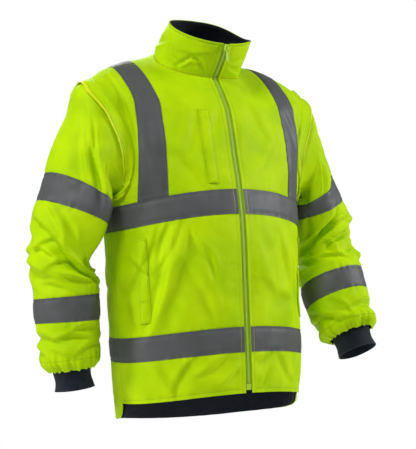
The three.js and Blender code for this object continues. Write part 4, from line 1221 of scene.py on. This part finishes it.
# Cap flaps over the sleeve heads, each with a turned edge
flapCut = {
    "flat": {-1: (0.56, 0.038), 1: (0.56, 0.031)},
    "columns": 210,
    "rows": 14,
    "stitch": 0.82,
    "leftShare": 0.74,
}
flapReach = np.array([row["reach"] for row in flapShape], float)
flapFall = np.array([row["fall"] for row in flapShape], float)


sleeveHeads = {}
for side in (-1, 1):
    at = np.linspace(0, 96, 49)[:, None]
    turn = np.linspace(0, 2 * math.pi, 180, endpoint=False)[None, :] + 0 * at
    at = at + 0 * turn
    like = sleeveNormals(side, turn, at)
    points = onSleeve(side, turn, at)
    sleeveHeads[side] = (points.reshape(-1, 3), gridNormals(points, True, like).reshape(-1, 3))


# Lays points on the sleeve's head, gap above it, as far as pull asks
def laidOnSleeve(side, points, gap, pull):
    base, out = sleeveHeads[side]
    flat, gaps, pulls = points.reshape(-1, 3), gap.ravel(), pull.ravel()
    moved = np.empty_like(flat)
    for i in range(0, len(flat), 500):
        block = flat[i : i + 500]
        far = ((block[:, None] - base[None]) ** 2).sum(-1)
        near = np.argpartition(far, 14, axis=1)[:, :14]
        share = 1 / (np.take_along_axis(far, near, 1) + 6)
        normal = unit((out[near] * share[..., None]).sum(1))
        height = (((block[:, None] - base[near]) * out[near]).sum(-1) * share).sum(1) / share.sum(1)
        moved[i : i + 500] = block - normal * ((height - gaps[i : i + 500]) * pulls[i : i + 500])[:, None]
    return moved.reshape(points.shape)


def flapPlaces(side, w, share):
    w, share = np.broadcast_arrays(np.asarray(w, float), np.asarray(share, float))
    seam, normal, near = armholeSeam(side, w)
    reach = np.interp(near, np.arange(11), flapReach) * (1 if side < 0 else flapCut["leftShare"])
    fall = np.radians(np.interp(near, np.arange(11), flapFall))
    out = np.stack([side * np.cos(fall), -0.15 * np.sin(w / 10 * math.pi), -np.sin(fall)], -1)
    lift = np.where(share < 0, 2.2 + 12 * share, 2.2 + 2.4 * np.sin(math.pi * np.maximum(share, 0)))
    points = seam + normal * lift[..., None] + out * (reach * share)[..., None]
    low = np.exp(-((near / 3.2) ** 2))
    wave = np.sin(2.9 * w + side) + 0.6 * np.sin(5.3 * w + 2)
    gap = 4.4 + share * ((0.5 + 0.7 * low) * wave + 0.6 * np.sin(1.1 * w + side))
    share = np.maximum(share, 0)
    pull = np.clip(share * 2.2, 0, 1)
    return laidOnSleeve(side, points, gap, pull**2 * (3 - 2 * pull)), normal


for side, label in ((-1, "right"), (1, "left")):
    w = np.linspace(0, 20, flapCut["columns"], endpoint=False)[None, :]
    share = np.concatenate([[-0.14, -0.06], np.linspace(0, 0.88, flapCut["rows"]), [0.94, 1]])[:, None]
    points, like = flapPlaces(side, w, share)
    uvs = (np.broadcast_to(w * 0.028, points.shape[:2]), np.broadcast_to(share * 0.031, points.shape[:2]))
    bead = 0.9 * np.exp(-(((1 - share) / 0.07) ** 2)) + 0 * w
    # The flap's outer edge rows take the lighter edge cloth: a real turned edge with a painted highlight on it
    layers = [cloths["shell"], cloths["shell"], cloths["paintedHighlightEdge"]]
    name = f"capFlap_{label}"
    piece = wallPiece(name, points, bead, body["wall"] + 0.4, uvs, layers, around=0.56, like=like, trim=(0, 2))
    finish(piece, [f"armhole_flap_{label}"])
print("flaps made")

# Sleeves in three lengths, joined under their tapes
sleeveCut = {
    "columns": 156,
    "spacing": 2.6,
    "tapeSpacing": 3.1,
    "girth": {"top": 0.4, "middle": 0.42, "low": 0.4},
    "length": {-1: {"top": 0.176, "middle": 0.224, "low": 0.12}, 1: {"top": 0.17, "middle": 0.22, "low": 0.115}},
}
turn = np.linspace(0, 2 * math.pi, sleeveCut["columns"], endpoint=False)[None, :]


def sleeveLength(name, side, low, high, step, lift, wall, materials):
    at = linspaceFor(low, high, step)[:, None]
    ats = np.broadcast_to(at, (len(at), turn.shape[1]))
    turns = np.broadcast_to(turn, ats.shape)
    like = sleeveNormals(side, turns, ats)
    points = onSleeve(side, turns, ats)
    return wallPiece(name, points, lift, wall, (turns * 0.064, ats / 1000), materials, around=0.402, like=like)


for side, label in ((-1, "right"), (1, "left")):
    upper, lower = sleeveTapes[side]
    end = float(sleeveTables[side]["at"][-1])
    seamsAt = [0, sum(upper) / 2, sum(lower) / 2, end]
    for i, part in enumerate(("top", "middle", "low")):
        low = seamsAt[i] + (0.15 if i else 0)
        high = seamsAt[i + 1] - (0.15 if i < 2 else 0)
        name = f"sleeve{part.title()}_{label}"
        piece = sleeveLength(name, side, low, high, sleeveCut["spacing"], 0, body["wall"], shellMaterials)
        finish(piece, [f"sleeve_{part}_{label}"])
    for (low, high), part in zip((upper, lower), ("upper", "lower")):
        name, step = f"sleeveTape_{part}_{label}", sleeveCut["tapeSpacing"]
        piece = sleeveLength(name, side, low, high, step, tape["lift"], tape["wall"], [cloths["tape"]])
        finish(piece, [f"tape_sleeve_{part}_{label}"])
print("sleeves made")

# Ribbed cuffs
cuff = {
    "rings": {-1: [(-10, 36.5), (0, 37), (18, 34.5), (38, 38.5)], 1: [(-10, 40), (0, 40.5), (18, 38), (38, 41)]},
    "ribs": 64,
    "rib": 0.55,
    "wall": 2.4,
    "flat": (0.24, 0.05),
}


def cuffPiece(side, label):
    ring = {key: float(values[-1]) for key, values in sleeveTables[side].items()}
    lean, pitch = math.radians(ring["lean"]), math.radians(ring["pitch"])
    axis = np.array([side * math.cos(lean) * math.cos(pitch), -math.sin(pitch), -math.sin(lean) * math.cos(pitch)])
    outward = unit(np.array([side, 0, 0]) - side * axis[0] * axis)
    forward = unit(np.cross(axis, outward))
    rings = cuff["rings"][side]
    at = np.linspace(-10, 38, 17)
    radius = np.interp(at, [r[0] for r in rings], [r[1] for r in rings])
    smooth = np.convolve(np.pad(radius, 2, mode="edge"), np.ones(5) / 5, mode="valid")
    turns = np.linspace(0, 2 * math.pi, cuff["ribs"] * 6, endpoint=False)[None, :]
    spoke = outward * np.cos(turns)[..., None] + forward * np.sin(turns)[..., None]
    centre = np.array([side * ring["x"], ring["y"], ring["z"]]) + axis * at[:, None]
    ribs = cuff["rib"] * np.abs(np.cos(turns * cuff["ribs"] / 2)) ** 0.7
    wobble = 0.7 * np.sin(3 * turns + at[:, None] / 9) + 0.5 * np.sin(5 * turns - at[:, None] / 7)
    edge = 0.9 * np.exp(-(((38 - at[:, None]) / 3) ** 2))
    points = centre[:, None, :] + spoke * (smooth[:, None] - 0.3 + ribs + wobble * 0.6 + edge)[..., None]
    likes = np.broadcast_to(spoke, points.shape)
    uvs = (np.broadcast_to(turns * 0.037, points.shape[:2]), np.broadcast_to(at[:, None] / 1000, points.shape[:2]))
    piece = wallPiece(f"ribCuff_{label}", points, 0, cuff["wall"], uvs, [cloths["knit"]], around=0.233, like=likes)
    finish(piece, [f"cuff_{label}"], angle=70)


for side, label in ((-1, "right"), (1, "left")):
    cuffPiece(side, label)
print("cuffs made")

# Pocket welts: folded strips along the openings
welts = {
    "hand": {"from": (187, -498), "to": (191, -330), "across": 12, "flat": (0.022, 0.175)},
    "chest": {"from": (57, -243), "to": (58, -100), "across": 20, "flat": (0.024, 0.15)},
    "lift": 2.7,
    "wall": 1.6,
    "swell": {-1: 1.7, 1: 0.4},
}


# The cloth's points under a welt with their normals, and the welt's own swell and uvs
def weltGrid(side, which):
    size = welts[which]
    share = np.linspace(0, 1, 58)[:, None]
    across = np.linspace(-0.5, 0.5, 13)[None, :]
    height = size["from"][1] + (size["to"][1] - size["from"][1]) * share
    middle = size["from"][0] + (size["to"][0] - size["from"][0]) * share
    width = middle + size["across"] * across
    half = between(bodyTable, height)["half"]
    angle, height = side * np.arcsin(width / half), height + 0 * width
    like = bodyNormals(angle, height)
    swell = welts["swell"][side] * np.cos(math.pi * across) + 0.25 * np.sin(height / 7 + 3 * across)
    return onBody(angle, height), like, swell, (width / 1000, height / 1000)


for side, label, which, nodeName in (
    (-1, "right", "hand", "hand_pocket_welt_right"),
    (1, "left", "hand", "hand_pocket_welt_left"),
    (-1, "chest", "chest", "chest_pocket_welt"),
):
    base, like, swell, uvs = weltGrid(side, which)
    points = base + like * swell[..., None]
    name, lift = f"pocketWelt_{label}", welts["lift"] - 0.4
    piece = wallPiece(name, points, lift, welts["wall"], uvs, [cloths["shell"]], like=like)
    finish(piece, [nodeName])
print("welts made")


# Zip: two woven tapes and two rows of meshed teeth
zipCut = {
    "half": 16.5,
    "lift": -2.6,
    "wall": 0.9,
    "pitch": 2.4,
    "tooth": (4.2, 1.5, 1.5),
    "low": -635,
    "tapeFlat": (0.0165, 0.72),
}


# Places down the front's centre line and up the collar, at widths x
def zipLine(x, count):
    bodyHeights = np.linspace(zipCut["low"], body["neck"], int(count * 0.85))
    collarAts = np.linspace(0.012, 0.965, count - len(bodyHeights))
    rows = []
    for height in bodyHeights:
        angle = np.arcsin(x / between(bodyTable, height)["half"])
        rows.append((onBody(angle, height), bodyNormals(angle, height + 0 * angle)))
    for at in collarAts:
        angle = np.arcsin(x / between(collarTable, at)["half"])
        rows.append((onCollar(angle, at), collarNormals(angle, at + 0 * angle)))
    return np.array([r[0] for r in rows]), np.array([r[1] for r in rows])


for side, label in ((-1, "right"), (1, "left")):
    x = side * np.linspace(0.2, zipCut["half"], 9)
    points, like = zipLine(x, 230)
    along = lengthsDown(points)
    uvs = (np.broadcast_to(x[None, :] / 1000, along.shape), along / 1000)
    piece = wallPiece(f"zipTape_{label}", points, zipCut["lift"], zipCut["wall"], uvs, [cloths["zipTape"]], like=like)
    finish(piece, [f"zip_tape_{label}"])


# Many small blocks in one mesh: each has its place, its long way and its up way, and a narrower top
def joinedBlocks(name, centres, longWays, ups, size, materials, taper=0.72):
    longWays = unit(longWays)
    sideWays = unit(np.cross(ups, longWays))
    upWays = unit(np.cross(longWays, sideWays))
    length, width, rise = size
    corner = np.array([[-1, -1], [1, -1], [1, 1], [-1, 1]], float) / 2
    rings = [(0.0, 1.0, 1.0), (0.6, 0.98, 0.95), (1.0, taper, taper)]
    verts = []
    for up, longShare, wideShare in rings:
        for a, b in corner:
            verts.append(
                centres
                + longWays * (a * length * longShare)
                + sideWays * (b * width * wideShare)
                + upWays * (up * rise)
            )
    verts = np.stack(verts, 1)
    base = np.arange(len(centres))[:, None, None] * 12
    quads = [[3, 2, 1, 0], [8, 9, 10, 11]]
    for ring in (0, 4):
        for k in range(4):
            quads.append([ring + k, ring + (k + 1) % 4, ring + 4 + (k + 1) % 4, ring + 4 + k])
    faces = (base + np.array(quads)[None]).reshape(-1, 4)
    return meshPiece(name, verts.reshape(-1, 3), faces.tolist(), materials)


points, out = zipLine(np.array([0.0]), 900)
points, out = points[:, 0], out[:, 0]
steps = np.linalg.norm(np.diff(points, axis=0), axis=-1)
run = np.concatenate([[0], np.cumsum(steps)])
places = np.arange(2, run[-1] - 12, zipCut["pitch"] / 2)
centres = np.stack([np.interp(places, run, points[:, k]) for k in range(3)], -1)
ups = unit(np.stack([np.interp(places, run, out[:, k]) for k in range(3)], -1))
away = np.where(np.arange(len(places)) % 2 == 0, 1.1, -1.1)
teeth = joinedBlocks(
    "zipTeeth",
    centres + np.array([1.0, 0, 0]) * away[:, None] + ups * (zipCut["lift"] + 0.1),
    np.tile([1.0, 0, 0], (len(places), 1)),
    ups,
    zipCut["tooth"],
    [zipPlastic],
)
finish(teeth, ["zip_coil"])
print("zip made")


# Stitches: short raised threads along each sewn line, joined in a mesh for each kind of thread. The olive thread is
# darker than the shell, painted shade for the puckered shadow beside the seams
stitch = {"pitch": 4.2, "length": 3.0, "width": 0.75, "rise": 0.45}
sewn = {"oliveShade": [], "yellow": [], "grey": []}


def sew(kind, points, normals, lift=0.0):
    points = points + normals * (lift - 0.12)
    run = np.concatenate([[0], np.cumsum(np.linalg.norm(np.diff(points, axis=0), axis=-1))])
    places = np.arange(stitch["pitch"] / 2, run[-1] - 1, stitch["pitch"])
    if len(places) < 2:
        return
    centres = np.stack([np.interp(places, run, points[:, k]) for k in range(3)], -1)
    ahead = np.stack([np.interp(places + 0.6, run, points[:, k]) for k in range(3)], -1)
    ups = unit(np.stack([np.interp(places, run, normals[:, k]) for k in range(3)], -1))
    sewn[kind].append((centres, ahead - centres, ups))


def surfaceNormals(pointAt, u, v, du, dv, like):
    made = normalsOf(pointAt, u, v, du, dv)
    flip = np.sign((made * like).sum(-1, keepdims=True))
    return made * np.where(flip == 0, 1, flip)


def sewBody(kind, angle, height, lift=0.0):
    angle, height = np.broadcast_arrays(np.asarray(angle, float), np.asarray(height, float))
    like = bodyNormals(angle, height)
    sew(kind, onBody(angle, height), surfaceNormals(onBody, angle, height, math.radians(0.6), 1.5, like), lift)


def sewSleeve(kind, side, turn, at, lift=0.0):
    surface = lambda u, v: onSleeve(side, u, v)
    turn, at = np.broadcast_arrays(np.asarray(turn, float), np.asarray(at, float))
    like = sleeveNormals(side, turn, at)
    sew(kind, surface(turn, at), surfaceNormals(surface, turn, at, 0.02, 1.5, like), lift)


def sewCollar(kind, angle, at, lift=0.0):
    angle, at = np.broadcast_arrays(np.asarray(angle, float), np.asarray(at, float))
    like = collarNormals(angle, at)
    sew(kind, onCollar(angle, at), surfaceNormals(onCollar, angle, at, 0.02, 0.015, like), lift)


tapeTop = tape["lift"]
edgeAt = math.radians(89)
for line in stitchHeights:
    inner = math.asin(9 / float(between(bodyTable, line)["half"]))
    for side in (-1, 1):
        sewBody("grey", side * np.linspace(inner, edgeAt, 400), line, tapeTop)
    sewBody("grey", np.linspace(math.pi - edgeAt, math.pi + edgeAt, 700), line, tapeTop)
for side in (-1, 1):
    for width in braceStitches:
        share = (1 - np.cos(np.linspace(0, math.pi, 300))) / 2
        heights = tape["chestTop"] + 3 + (ringOfWidth(width) - 0.1 - tape["chestTop"] - 3) * share
        angle = np.arcsin(np.clip(width / between(bodyTable, heights)["half"], -1, 1))
        sewBody("grey", side * angle, heights, tapeTop)
        sewBody("grey", math.pi - side * angle, heights, tapeTop)
    heights = np.linspace(body["hem"] + 3, body["neck"] - 3, 600)
    angle = side * np.arcsin(seams["zipStitch"] / between(bodyTable, heights)["half"])
    onTapes = np.zeros(len(heights))
    for top in (tape["chestTop"], tape["hemTop"]):
        onTapes = np.maximum(onTapes, (np.abs(heights - top + tape["width"] / 2) < tape["width"] / 2 + 1) * tapeTop)
    like = bodyNormals(angle, heights)
    places = onBody(angle, heights) + like * onTapes[:, None]
    splits = np.flatnonzero(np.diff(onTapes > 0)) + 1
    for run in np.split(np.arange(len(heights)), splits):
        sew("yellow" if onTapes[run[0]] > 0 else "oliveShade", places[run], like[run])
    ats = np.linspace(0.03, 0.9, 120)
    sewCollar("oliveShade", side * np.arcsin(seams["zipStitch"] / between(collarTable, ats)["half"]), ats)
    inner = math.asin(18 / float(between(bodyTable, body["hem"])["half"]))
    sewBody("oliveShade", side * np.linspace(inner, edgeAt, 400), body["hem"] + seams["hemStitch"])
tailAcross = np.linspace(-0.995, 0.995, 900)
tailAngle, tailHeight = backPlaces(tailAcross, -1 + 0 * tailAcross)
sewBody("oliveShade", tailAngle, tailHeight + seams["hemStitch"])
topLine = 1 - seams["collarStitch"] / collarHeight
sewCollar("oliveShade", np.linspace(math.radians(12), math.radians(348), 700), topLine)
for side in (-1, 1):
    for line in sleeveStitches[side]:
        sewSleeve("grey", side, np.linspace(0, 2 * math.pi, 500), line, tapeTop)
    sewSleeve("oliveShade", side, np.linspace(0, 2 * math.pi, 500), float(sleeveTables[side]["at"][-1]) - 20)
    w = np.linspace(0, 20, 600)
    points, like = flapPlaces(side, w, flapCut["stitch"])
    ahead, _ = flapPlaces(side, w + 0.02, flapCut["stitch"])
    inward, _ = flapPlaces(side, w, flapCut["stitch"] - 0.04)
    normals = unit(np.cross(ahead - points, inward - points))
    normals = normals * np.sign((normals * like).sum(-1, keepdims=True))
    sew("oliveShade", points, normals)
for side, which in ((-1, "hand"), (1, "hand"), (-1, "chest")):
    base, like, swell, _ = weltGrid(side, which)
    points = base + like * (swell + welts["lift"] - 0.4)[..., None]
    for column in (1, 11):
        sew("oliveShade", points[1:-1, column], like[1:-1, column])
    for row in (1, -2):
        sew("oliveShade", points[row, 1:-1], like[row, 1:-1])
    if which == "hand":
        for row in (14, 15):
            sew("oliveShade", points[row, 1:-1], like[row, 1:-1])
size = (stitch["length"], stitch["width"], stitch["rise"])
for kind, material, slotName in (
    ("oliveShade", threadPaintedShade, "shell"),
    ("yellow", threadYellow, "shell"),
    ("grey", threadGrey, "reflective_tape"),
):
    centres, ways, ups = (np.concatenate([run[k] for run in sewn[kind]]) for k in range(3))
    piece = joinedBlocks(f"stitches_{kind}", centres, ways, ups, size, [material], taper=0.6)
    finish(piece, [])
    print(kind, "stitches:", len(centres))


# Slider, bridge, pull tab and bottom box of the zip
hardware = {
    "at": 0.9,
    "slider": (9.0, 13.0, 4.4),
    "lift": 1.0,
    "ring": (3.0, 0.72),
    "pull": (7.0, 1.4, 27.0),
    "box": (11.0, 3.4, 12.0),
}
sliderPlace = plainCollar(np.array(0.0), np.array(hardware["at"]))
sliderOut = collarNormals(np.array(0.0), np.array(hardware["at"]))
sliderUp = unit(np.cross(np.array([1.0, 0, 0]), sliderOut))
sliderUp = sliderUp if sliderUp[2] > 0 else -sliderUp
sliderAcross = np.cross(sliderUp, sliderOut)
depth = hardware["slider"][2]
hingeAt = sliderPlace + sliderOut * (hardware["lift"] + depth + 0.3 + 1.5)


def sliderFrame(origin):
    columns = [sliderAcross, sliderUp, sliderOut, np.asarray(origin) / 1000]
    return Matrix([[float(c[i]) for c in columns] for i in range(3)] + [[0, 0, 0, 1]])


def cubePiece(name, size, centre, material, cuts=0):
    bpy.ops.object.select_all(action="DESELECT")
    bpy.ops.mesh.primitive_cube_add(size=1)
    piece = bpy.context.active_object
    piece.name = name
    piece.scale = [v / 1000 for v in size]
    piece.location = [v / 1000 for v in centre]
    bpy.ops.object.transform_apply(location=True, rotation=True, scale=True)
    piece.data.materials.append(material)
    if cuts:
        bpy.ops.object.mode_set(mode="EDIT")
        bpy.ops.mesh.select_all(action="SELECT")
        bpy.ops.mesh.subdivide(number_cuts=cuts)
        bpy.ops.object.mode_set(mode="OBJECT")
    return piece


def bevelled(piece, width, segments=3):
    bpy.context.view_layer.objects.active = piece
    bevel = piece.modifiers.new("Bevel", "BEVEL")
    bevel.width = width / 1000
    bevel.segments = segments
    bevel.limit_method = "ANGLE"
    bevel.angle_limit = math.radians(30)
    bpy.ops.object.modifier_apply(modifier=bevel.name)
    return piece


slider = cubePiece("zipSlider", hardware["slider"], (0, 0, depth / 2), zipPlastic, cuts=5)
halfLength = hardware["slider"][1] / 2000
for vertex in slider.data.vertices:
    low = max(0.0, -vertex.co.y / halfLength)
    vertex.co.x *= 1 - 0.3 * low**1.4
    if vertex.co.z > depth / 1000 * 0.75:
        vertex.co.x *= 0.88
        vertex.co.y *= 0.94
    waist = math.exp(-(((vertex.co.z * 1000 - depth / 2) / 0.9) ** 2))
    vertex.co.x *= 1 - 0.1 * waist
bevelled(slider, 0.4)
slider.data.transform(sliderFrame(sliderPlace + sliderOut * hardware["lift"]))
finish(slider, ["zip_slider"], angle=50)

bpy.ops.object.select_all(action="DESELECT")
bpy.ops.mesh.primitive_torus_add(
    major_radius=hardware["ring"][0] / 1000,
    minor_radius=hardware["ring"][1] / 1000,
    major_segments=40,
    minor_segments=14,
    rotation=(0, math.radians(90), 0),
)
bridge = bpy.context.active_object
bridge.name = "zipBridge"
bridge.location.z = (depth + 1.5) / 1000
bpy.ops.object.transform_apply(location=True, rotation=True, scale=True)
bridge.data.materials.append(zipPlastic)
bpy.ops.object.mode_set(mode="EDIT")
bpy.ops.mesh.select_all(action="SELECT")
bpy.ops.mesh.bisect(plane_co=(0, 0, (depth + 0.05) / 1000), plane_no=(0, 0, 1), use_fill=True, clear_inner=True)
bpy.ops.object.mode_set(mode="OBJECT")
for vertex in bridge.data.vertices:
    vertex.co.x *= 1.35
bridge.data.transform(sliderFrame(sliderPlace + sliderOut * hardware["lift"]))
finish(bridge, ["zip_bridge"], angle=50)

# The pull tab hangs from the bridge: a plate with a window at its top and a round end
pull = cubePiece("zipPull", (1000, 1000, 1000), (0, 0, 0), zipPlastic, cuts=9)
across = [-3.5, -3.1, -2.1, -1.4, -0.7, 0, 0.7, 1.4, 2.1, 3.1, 3.5]
down = [-26.25, -25.6, -24.2, -22, -19, -15, -11, -7.25, -4, -0.75, 0.75]
for vertex in pull.data.vertices:
    column, row = round((vertex.co.x + 0.5) * 10), round((vertex.co.z + 0.5) * 10)
    z = down[row]
    below = max(0.0, (-22.75 - z) / 3.5)
    narrow = math.sqrt(max(0.06, 1 - below**2)) * (1 - 0.14 * math.exp(-(((z + 10.5) / 3) ** 2)))
    thin = 1 - 0.35 * math.exp(-(((z + 16) / 5.5) ** 2)) if abs(across[column]) < 2.5 else 1
    vertex.co = (across[column] * narrow / 1000, vertex.co.y * hardware["pull"][1] * thin / 1000, z / 1000)
bpy.ops.object.mode_set(mode="EDIT")
bpy.ops.mesh.select_mode(type="FACE")
bpy.ops.mesh.select_all(action="DESELECT")
bpy.ops.object.mode_set(mode="OBJECT")
for face in pull.data.polygons:
    x, y, z = (v * 1000 for v in face.center)
    face.select = abs(x) < 2 and -7.2 < z < -0.8 and abs(abs(y) - 0.7) < 0.05
bpy.ops.object.mode_set(mode="EDIT")
bpy.ops.mesh.delete(type="FACE")
bpy.ops.mesh.select_mode(type="EDGE")
bpy.ops.mesh.select_all(action="DESELECT")
bpy.ops.mesh.select_non_manifold()
bpy.ops.mesh.bridge_edge_loops()
bpy.ops.mesh.select_all(action="SELECT")
bpy.ops.mesh.normals_make_consistent(inside=False)
bpy.ops.object.mode_set(mode="OBJECT")
bevelled(pull, 0.22, 2)
pull.data.transform(Matrix.Translation([float(v) / 1000 for v in hingeAt]))
finish(pull, ["zip_pull"], rider="zip_pull", angle=50)

boxHeight = zipCut["low"] - hardware["box"][2] / 2 - 0.3
boxPlace = onBody(np.array(0.0), np.array(boxHeight))
boxCentre = (float(boxPlace[0]), float(boxPlace[1]) + hardware["box"][1] / 2 + 0.4, float(boxPlace[2]))
zipBox = cubePiece("zipBox", hardware["box"], boxCentre, zipPlastic, cuts=5)
for vertex in zipBox.data.vertices:
    x, z = vertex.co.x * 1000 - boxCentre[0], vertex.co.z * 1000 - boxCentre[2]
    if vertex.co.y * 1000 < boxCentre[1] - 1.2 and abs(x) < 2.4:
        vertex.co.y += 0.0007
    if z < -5:
        vertex.co.x -= 0.12 * x / 1000
bevelled(zipBox, 0.5)
finish(zipBox, ["zip_bottom_box"], angle=50)
print("zip hardware made")

# Camera as in the photo, from the wearer's right
photo = {"azimuth": -35, "distance": 3.3, "lens": 130.3, "target": (0.008, -0.006, -0.326)}
cameraTurn = math.radians(photo["azimuth"])
target = Vector(photo["target"])
away = Vector((math.sin(cameraTurn), -math.cos(cameraTurn), 0))
cameraData = bpy.data.cameras.new("camera")
cameraData.lens = photo["lens"]
cameraData.sensor_width = 36
cameraData.sensor_height = 36
cameraData.sensor_fit = "AUTO"
camera = bpy.data.objects.new("camera", cameraData)
camera.location = target + away * photo["distance"]
camera.rotation_euler = (-away).to_track_quat("-Z", "Y").to_euler()
bpy.context.scene.collection.objects.link(camera)
bpy.context.scene.camera = camera


# Round soft lights to both sides of the camera, and one behind the jacket
def softBox(name, azimuth, elevation, distance, size, power):
    data = bpy.data.lights.new(name, "AREA")
    data.shape = "DISK"
    data.size = size
    data.energy = power
    lamp = bpy.data.objects.new(name, data)
    a, e = math.radians(azimuth), math.radians(elevation)
    way = Vector((math.sin(a) * math.cos(e), -math.cos(a) * math.cos(e), math.sin(e)))
    lamp.location = Vector((0, 0, -0.33)) + way * distance
    lamp.rotation_euler = (-way).to_track_quat("-Z", "Y").to_euler()
    bpy.context.scene.collection.objects.link(lamp)


lights = {
    "right": dict(azimuth=-62, elevation=46, distance=2.6, size=0.6, power=33),
    "side": dict(azimuth=-96, elevation=10, distance=2.6, size=0.6, power=22),
    "left": dict(azimuth=60, elevation=20, distance=2.6, size=0.8, power=42),
    "back": dict(azimuth=165, elevation=35, distance=2.8, size=1.4, power=40),
}
for name, light in lights.items():
    softBox(name, **light)
world = bpy.data.worlds.new("studio")
bpy.context.scene.world = world
world.use_nodes = True
tree = world.node_tree
tree.nodes.clear()
output = node(tree, "ShaderNodeOutputWorld", (300, 0))
seen = node(tree, "ShaderNodeBackground", (-200, 100), in_0=(1, 1, 1, 1), in_1=1.0)
lit = node(tree, "ShaderNodeBackground", (-200, -100), in_0=(1, 1, 1, 1), in_1=0.26)
rays = node(tree, "ShaderNodeLightPath", (-200, 300))
mixed = node(tree, "ShaderNodeMixShader", (50, 0))
tree.links.new(rays.outputs["Is Camera Ray"], mixed.inputs[0])
tree.links.new(lit.outputs[0], mixed.inputs[1])
tree.links.new(seen.outputs[0], mixed.inputs[2])
tree.links.new(mixed.outputs[0], output.inputs[0])
bpy.context.scene.view_settings.view_transform = "Standard"

bpy.ops.object.select_all(action="DESELECT")
bpy.ops.mesh.primitive_circle_add(vertices=64, radius=1.5, fill_type="NGON", location=(0, 0, -1.0))
floor = bpy.context.active_object
floor.name = "floor"
floorPaint = bpy.data.materials.new("floorPaint")
floorPaint.use_nodes = True
floorPaint.node_tree.nodes["Principled BSDF"].inputs["Base Color"].default_value = (0.86, 0.86, 0.86, 1)
floorPaint.node_tree.nodes["Principled BSDF"].inputs["Roughness"].default_value = 0.9
floor.data.materials.append(floorPaint)
print("camera and lights made")
